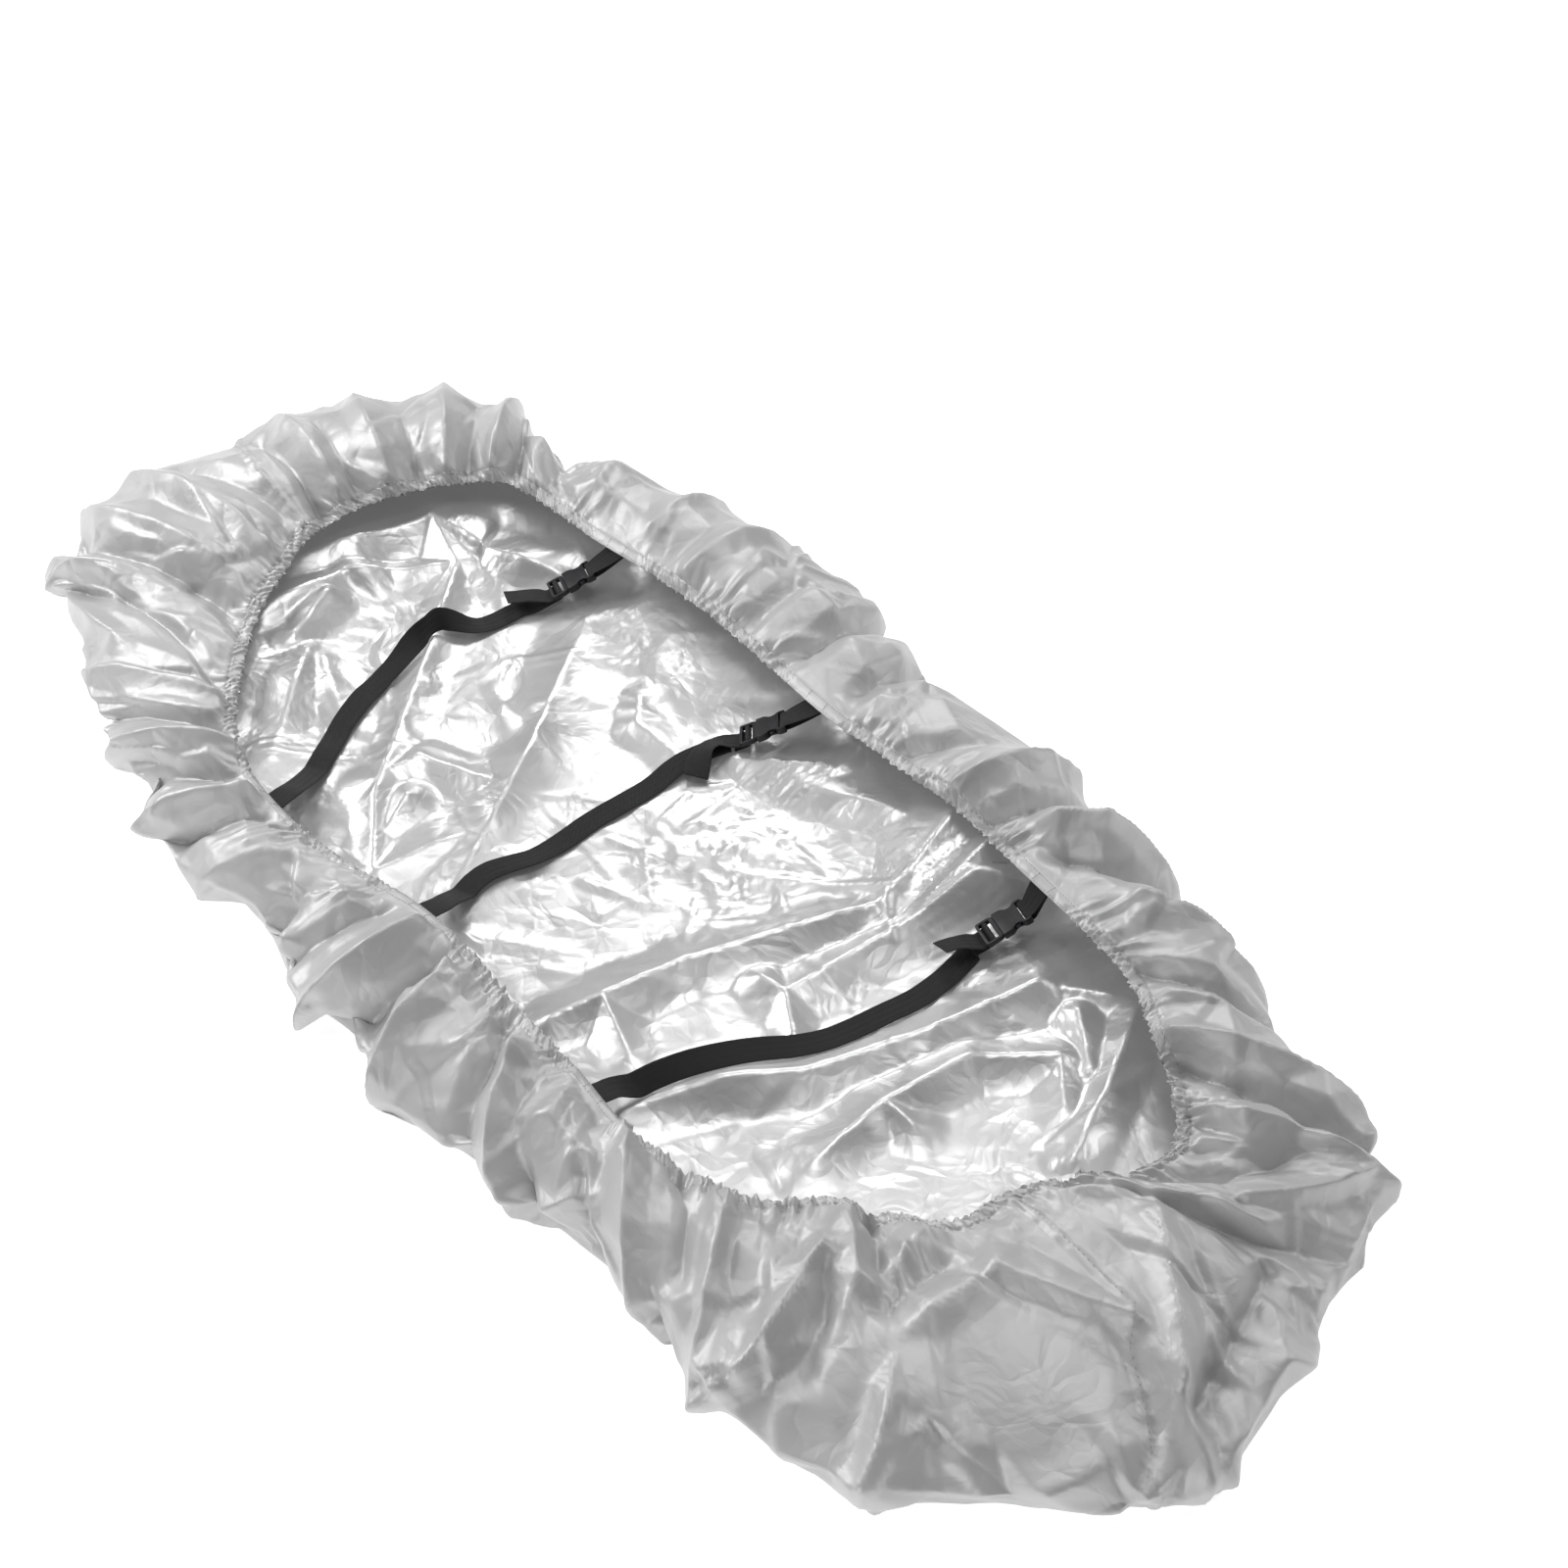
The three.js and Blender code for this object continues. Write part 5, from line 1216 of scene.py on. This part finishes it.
# The three straps.
# Black woven polypropylene webbing, 30 mm wide. The long end of each is sewn under the hem, lies
# over the sheet to the buckle, turns round the bar of its plug and ends in a short free tail.
WEB_WIDTH = 30.0
WEB_THICK = 1.5
WEB_GAP = 0.3
STRAPS = {
    1: dict(
        left=6.72,
        right=33.65,
        plug_end=(-402, 198, 24),
        socket_end=(-383, 248, 43),
        route=[
            (-308, -268, 50, 0),
            (-322, -245, 36, 0),
            (-338, -220, 22, 0),
            (-356, -192, 10, 4),
            (-374, -165, 0, 0),
            (-390, -140, 0, 0),
            (-406, -108, 0, 6),
            (-420, -78, 0, 8),
            (-430, -48, 0, 0),
            (-434, -14, 0, 8),
            (-440, 16, 0, 40),
            (-447, 38, 0, 74),
            (-450, 56, 0, 60),
            (-440, 76, 0, 25),
            (-428, 98, 0, 0),
            (-421, 130, 0, 0),
            (-418, 162, 4, 0),
        ],
        tail=[(-411, 185, 20, -8), (-418, 176, 21, -10), (-427, 162, 21, -10), (-433, 150, 23, -10)],
    ),
    2: dict(
        left=9.2,
        right=30.25,
        plug_end=(-45, 205, 20),
        socket_end=(-12, 248, 43),
        route=[
            (-45, -248, 50, 0),
            (-54, -228, 38, 0),
            (-64, -207, 22, 0),
            (-73, -182, 8, 0),
            (-76, -154, 0, 0),
            (-70, -126, 0, -6),
            (-62, -98, 0, -8),
            (-61, -60, 0, 0),
            (-64, -15, 0, 0),
            (-63, 30, 0, 0),
            (-62, 75, 0, 0),
            (-64, 112, 0, 0),
            (-63, 142, 0, 0),
            (-58, 172, 3, 0),
        ],
        tail=[
            (-53, 190, 17, -12),
            (-58, 176, 21, -26),
            (-57, 159, 23, -22),
            (-47, 141, 20, 0),
            (-33, 124, 15, 12),
        ],
    ),
    3: dict(
        left=12.4,
        right=26.7,
        plug_end=(384, 190, 24),
        socket_end=(400, 240, 43),
        route=[
            (287, -268, 44, 8),
            (289, -248, 32, 24),
            (292, -226, 22, 30),
            (298, -203, 12, 30),
            (308, -177, 0, 26),
            (325, -141, 0, 18),
            (343, -106, 0, 12),
            (361, -72, 0, 6),
            (376, -36, 0, 0),
            (384, 0, 0, 0),
            (390, 40, 0, 0),
            (394, 82, 0, 0),
            (392, 122, 0, 0),
            (386, 156, 3, 0),
        ],
        tail=[(377, 176, 21, -12), (373, 164, 25, -18), (370, 152, 28, -20), (368, 140, 30, -20)],
    ),
}
BUCKLE_TURN = -10.0
LOWER_LAYER = -7.2
UPPER_LAYER = -4.1
BAR_AT = 10.0
SEAT_WAYS = (0.07, 0.035, 0.006)
UNDER_SEAT = 2.4
ROUTE_STEP = 7
WEB_STEP = 2.2


def round_bar(half):
    """How far from a bar's middle webbing runs round it, from half the bar's thickness."""
    return half + WEB_THICK / 2 + WEB_GAP + 0.1


BAR_WRAP = round_bar(1.5)


def unit(v):
    return v / np.linalg.norm(v)


def turned_side(along, degrees):
    """Across a strap that runs along, tipped round its own length."""
    flat = unit(np.cross(along, (0, 0, 1)))
    angle, axis = math.radians(degrees), unit(along)
    return flat * math.cos(angle) + np.cross(axis, flat) * math.sin(angle)


def seat_stop(section, way, layer):
    """Where the webbing is sewn under the hem, one layer below the other."""
    s, w = np.array([section]), np.array([way])
    spot, _, _, out = rim_frames(s, w)
    round_it = unit((rim_base(s + 0.1, w) - rim_base(s - 0.1, w))[0])
    return spot[0] - out[0] * (UNDER_SEAT + layer * (WEB_THICK + WEB_GAP)), round_it


def buckle_frame(strap):
    """A function that gives places along a buckle and out of it, with the direction across it."""
    start, end = np.array(strap["plug_end"], float), np.array(strap["socket_end"], float)
    along = unit(end - start)
    across = turned_side(along, BUCKLE_TURN)
    out = np.cross(across, along)
    return lambda u, w: (start + along * u + out * w, across)


def laid_run(rows, before, after):
    """A route drawn finer and lifted on to the sheet below, with no dip finer than webbing takes."""
    rows = np.array([(*before, rows[0][3]), *rows, (*after, rows[-1][3])], float)
    closed = np.concatenate([[2 * rows[0] - rows[1]], rows, [2 * rows[-1] - rows[-2]]])
    fine = []
    for i in range(1, len(closed) - 2):
        steps = max(2, int(np.linalg.norm(closed[i + 1, :2] - closed[i, :2]) / ROUTE_STEP))
        t = np.arange(steps)[:, None] / steps
        fine.append(through(closed[i - 1], closed[i], closed[i + 1], closed[i + 2], t))
    fine = np.concatenate(fine)[1:]
    places, turns = fine[:, :3], fine[:, 3]
    run = np.gradient(places[:, :2], axis=0)
    sides = [turned_side(np.array([*d, 0]), turn) for d, turn in zip(run, turns)]
    least = np.zeros(len(places))
    for i, (place, side) in enumerate(zip(places, sides)):
        for s in (-1, -0.5, 0, 0.5, 1):
            arm = side * s * WEB_WIDTH / 2
            spot = (place + arm + PLAN_SHIFT) * MM
            hit = lying_tree.ray_cast(Vector((spot[0], spot[1], 0.2)), Vector((0, 0, -1)))[0]
            top = hit.z / MM if hit else 0
            least[i] = max(least[i], top + 0.7 + WEB_THICK / 2 - arm[2])
    wide = np.array([least[max(0, i - 2) : i + 3].max() for i in range(len(least))])
    calm = np.array([wide[max(0, i - 2) : i + 3].mean() for i in range(len(wide))])
    places[:, 2] = np.maximum(places[:, 2], np.maximum(calm, least))
    return list(zip(places, sides))


def web_stops(strap, long_end):
    """Places along one end of a strap, each with its direction across, and the buckle's own."""
    at = buckle_frame(strap)
    seat = strap["left"] if long_end else strap["right"]
    start = [seat_stop(seat, way, 0) for way in SEAT_WAYS]
    if not long_end:
        low = [seat_stop(seat, way, 1) for way in SEAT_WAYS[::-1]]
        near = round_bar(2.1)
        over = [(63, near), (60.5, near), (56, near), (54, 2.5)]
        loop = [*over, (53.5, 0), *[(u, -w) for u, w in over[::-1]]]
        return [*start, *[at(u, w) for u, w in loop], *low], at(0, 0)[1]
    to_bar = [*((u, LOWER_LAYER) for u in (-14, -4, 8)), (11.2, -5.4), (12.8, -3.2)]
    lower = [at(u, w) for u, w in to_bar]
    wrap = []
    for degrees in (-20, 20, 55, 90, 125, 160, 200):
        angle = math.radians(degrees)
        wrap.append(at(BAR_AT + BAR_WRAP * math.cos(angle), BAR_WRAP * math.sin(angle)))
    upper = [at(u, w) for u, w in ((6, -2.8), (4, UPPER_LAYER), (0, UPPER_LAYER), (-5, UPPER_LAYER))]
    run = laid_run(strap["route"], start[-1][0], lower[0][0])
    tail, last = [], at(-5, 0)[0]
    for x, y, z, turn in strap["tail"]:
        back = np.array([last[0] - x, last[1] - y, 0])
        last = np.array([x, y, z], float)
        tail.append((last, turned_side(back, turn)))
    return [*start, *run, *lower, *wrap, *upper, *tail], at(0, 0)[1]


# Half of the webbing's section, across and out of its face in mm: a soft selvedge, then flat
WEB_EDGE = [(-14.8, 0.45), (-14, 0.72), (-12.8, 0.75), (-8, 0.68)]
WEB_SECTION = [(-15, 0), *WEB_EDGE, (0, 0.7), *[(-u, v) for u, v in WEB_EDGE[::-1]]]


def web_mesh(name, stops, across):
    """Webbing swept through its stops, with its length and width in mm as a map for the weave."""
    places = np.array([p for p, _ in stops])
    sides = np.array([s if s @ across > 0 else -s for _, s in stops])
    fine_p, fine_s = [], []
    for i in range(len(places) - 1):
        rows = [min(max(k, 0), len(places) - 1) for k in (i - 1, i, i + 1, i + 2)]
        steps = max(1, round(np.linalg.norm(places[i + 1] - places[i]) / WEB_STEP))
        for t in np.arange(steps) / steps:
            fine_p.append(through(*places[rows], t))
            fine_s.append(unit(sides[i] * (1 - t) + sides[i + 1] * t))
    fine_p, fine_s = np.array([*fine_p, places[-1]]), np.array([*fine_s, sides[-1]])
    along = np.gradient(fine_p, axis=0)
    ups = np.cross(fine_s, along)
    ups /= np.linalg.norm(ups, axis=1)[:, None]
    outline = [*WEB_SECTION, *[(-u, -v) for u, v in WEB_SECTION]]
    across_mm = np.array([u for u, _ in outline])
    out_mm = np.array([v for _, v in outline])
    rings = fine_p[:, None] + fine_s[:, None] * across_mm[:, None] + ups[:, None] * out_mm[:, None]
    run = np.concatenate([[0], np.cumsum(np.linalg.norm(np.diff(fine_p, axis=0), axis=1))])
    count, width = len(fine_p), len(outline)
    faces = []
    for r in range(count - 1):
        for c in range(width):
            d = (c + 1) % width
            faces.append((r * width + c, r * width + d, (r + 1) * width + d, (r + 1) * width + c))
    faces += [tuple(range(width))[::-1], tuple((count - 1) * width + c for c in range(width))]
    mesh = bpy.data.meshes.new(name)
    mesh.from_pydata(((rings.reshape(-1, 3) + PLAN_SHIFT) * MM).tolist(), [], faces)
    mesh.shade_smooth()
    weave = mesh.uv_layers.new(name="weave")
    corner = np.zeros(len(mesh.loops), int)
    mesh.loops.foreach_get("vertex_index", corner)
    flat = np.stack([run[corner // width] / 1000, across_mm[corner % width] / 1000], 1)
    weave.data.foreach_set("uv", flat.ravel().astype(np.float32))
    piece = bpy.data.objects.new(name, mesh)
    scene.collection.objects.link(piece)
    return piece, run[-1]


for number, strap in STRAPS.items():
    for end in ("long", "short"):
        stops, across = web_stops(strap, end == "long")
        piece, length = web_mesh(f"webbing_{number}_{end}", stops, across)
        piece.data.materials.append(polypropylene_webbing)
        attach(piece, "root")
        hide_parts(f"strap_{number}_{end}")

# The three side-release buckles.
# Copies of the solids with softened edges. Moulded acetal in two halves: the plug has a window with
# a bar that the long webbing turns round, the socket has an oval body, notched at both sides for the
# plug's prongs, and a slot at its end.
acetal, tree, shader = material("moulded_acetal")
where = add(tree, "ShaderNodeTexCoord").outputs["Object"]
grain = add(tree, "ShaderNodeTexNoise", {"Vector": where, "Scale": 1400.0, "Detail": 2.0})
cloudy = add(tree, "ShaderNodeTexNoise", {"Vector": where, "Scale": 90.0, "Detail": 2.0})
tree.links.new(ramp(tree, cloudy.outputs["Fac"], "17181A", "1F2022"), shader.inputs["Base Color"])
spark = add(tree, "ShaderNodeBump", {"Height": grain.outputs["Fac"], "Distance": 0.0002, "Strength": 0.35})
tree.links.new(spark.outputs["Normal"], shader.inputs["Normal"])
shader.inputs["Roughness"].default_value = 0.42
shader.inputs["IOR"].default_value = 1.48
WELD, EDGE_RADIUS = 2e-5, 0.00045
FLAT_ANGLE, SHARP_ANGLE = 2, 28

for number in (1, 2, 3):
    for half_name in ("plug", "socket"):
        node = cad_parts[f"buckle_{number}_{half_name}"]
        solid = bmesh.new()
        solid.from_mesh(node.data)
        bmesh.ops.remove_doubles(solid, verts=solid.verts, dist=WELD)
        flat = math.radians(FLAT_ANGLE)
        bmesh.ops.dissolve_limit(solid, angle_limit=flat, verts=solid.verts, edges=solid.edges)
        paired = [e for e in solid.edges if len(e.link_faces) == 2]
        sharp = [e for e in paired if e.calc_face_angle() > math.radians(SHARP_ANGLE)]
        soft = dict(offset=EDGE_RADIUS, segments=2, profile=0.6, affect="EDGES", clamp_overlap=True)
        bmesh.ops.bevel(solid, geom=sharp, **soft)
        bmesh.ops.triangulate(solid, faces=solid.faces)
        mesh = bpy.data.meshes.new(f"moulded_{half_name}_{number}")
        solid.to_mesh(mesh)
        solid.free()
        mesh.shade_smooth()
        mesh.set_sharp_from_angle(angle=math.radians(40))
        mesh.materials.append(acetal)
        piece = bpy.data.objects.new(mesh.name, mesh)
        scene.collection.objects.link(piece)
        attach(piece, "root")
        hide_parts(node.name)

# The floor under the cover: plain white, bright enough to carry almost no shadow.
mesh = bpy.data.meshes.new("stage_floor")
mesh.from_pydata([(-6, -6, 0), (6, -6, 0), (6, 6, 0), (-6, 6, 0)], [], [(0, 1, 2, 3)])
white_floor, tree, shader = material("white_floor")
shader.inputs["Base Color"].default_value = srgb("FCFCFC")
shader.inputs["Roughness"].default_value = 0.9
shader.inputs["Emission Color"].default_value = (1, 1, 1, 1)
shader.inputs["Emission Strength"].default_value = 0.6
mesh.materials.append(white_floor)
stage_floor = bpy.data.objects.new("stage_floor", mesh)
scene.collection.objects.link(stage_floor)
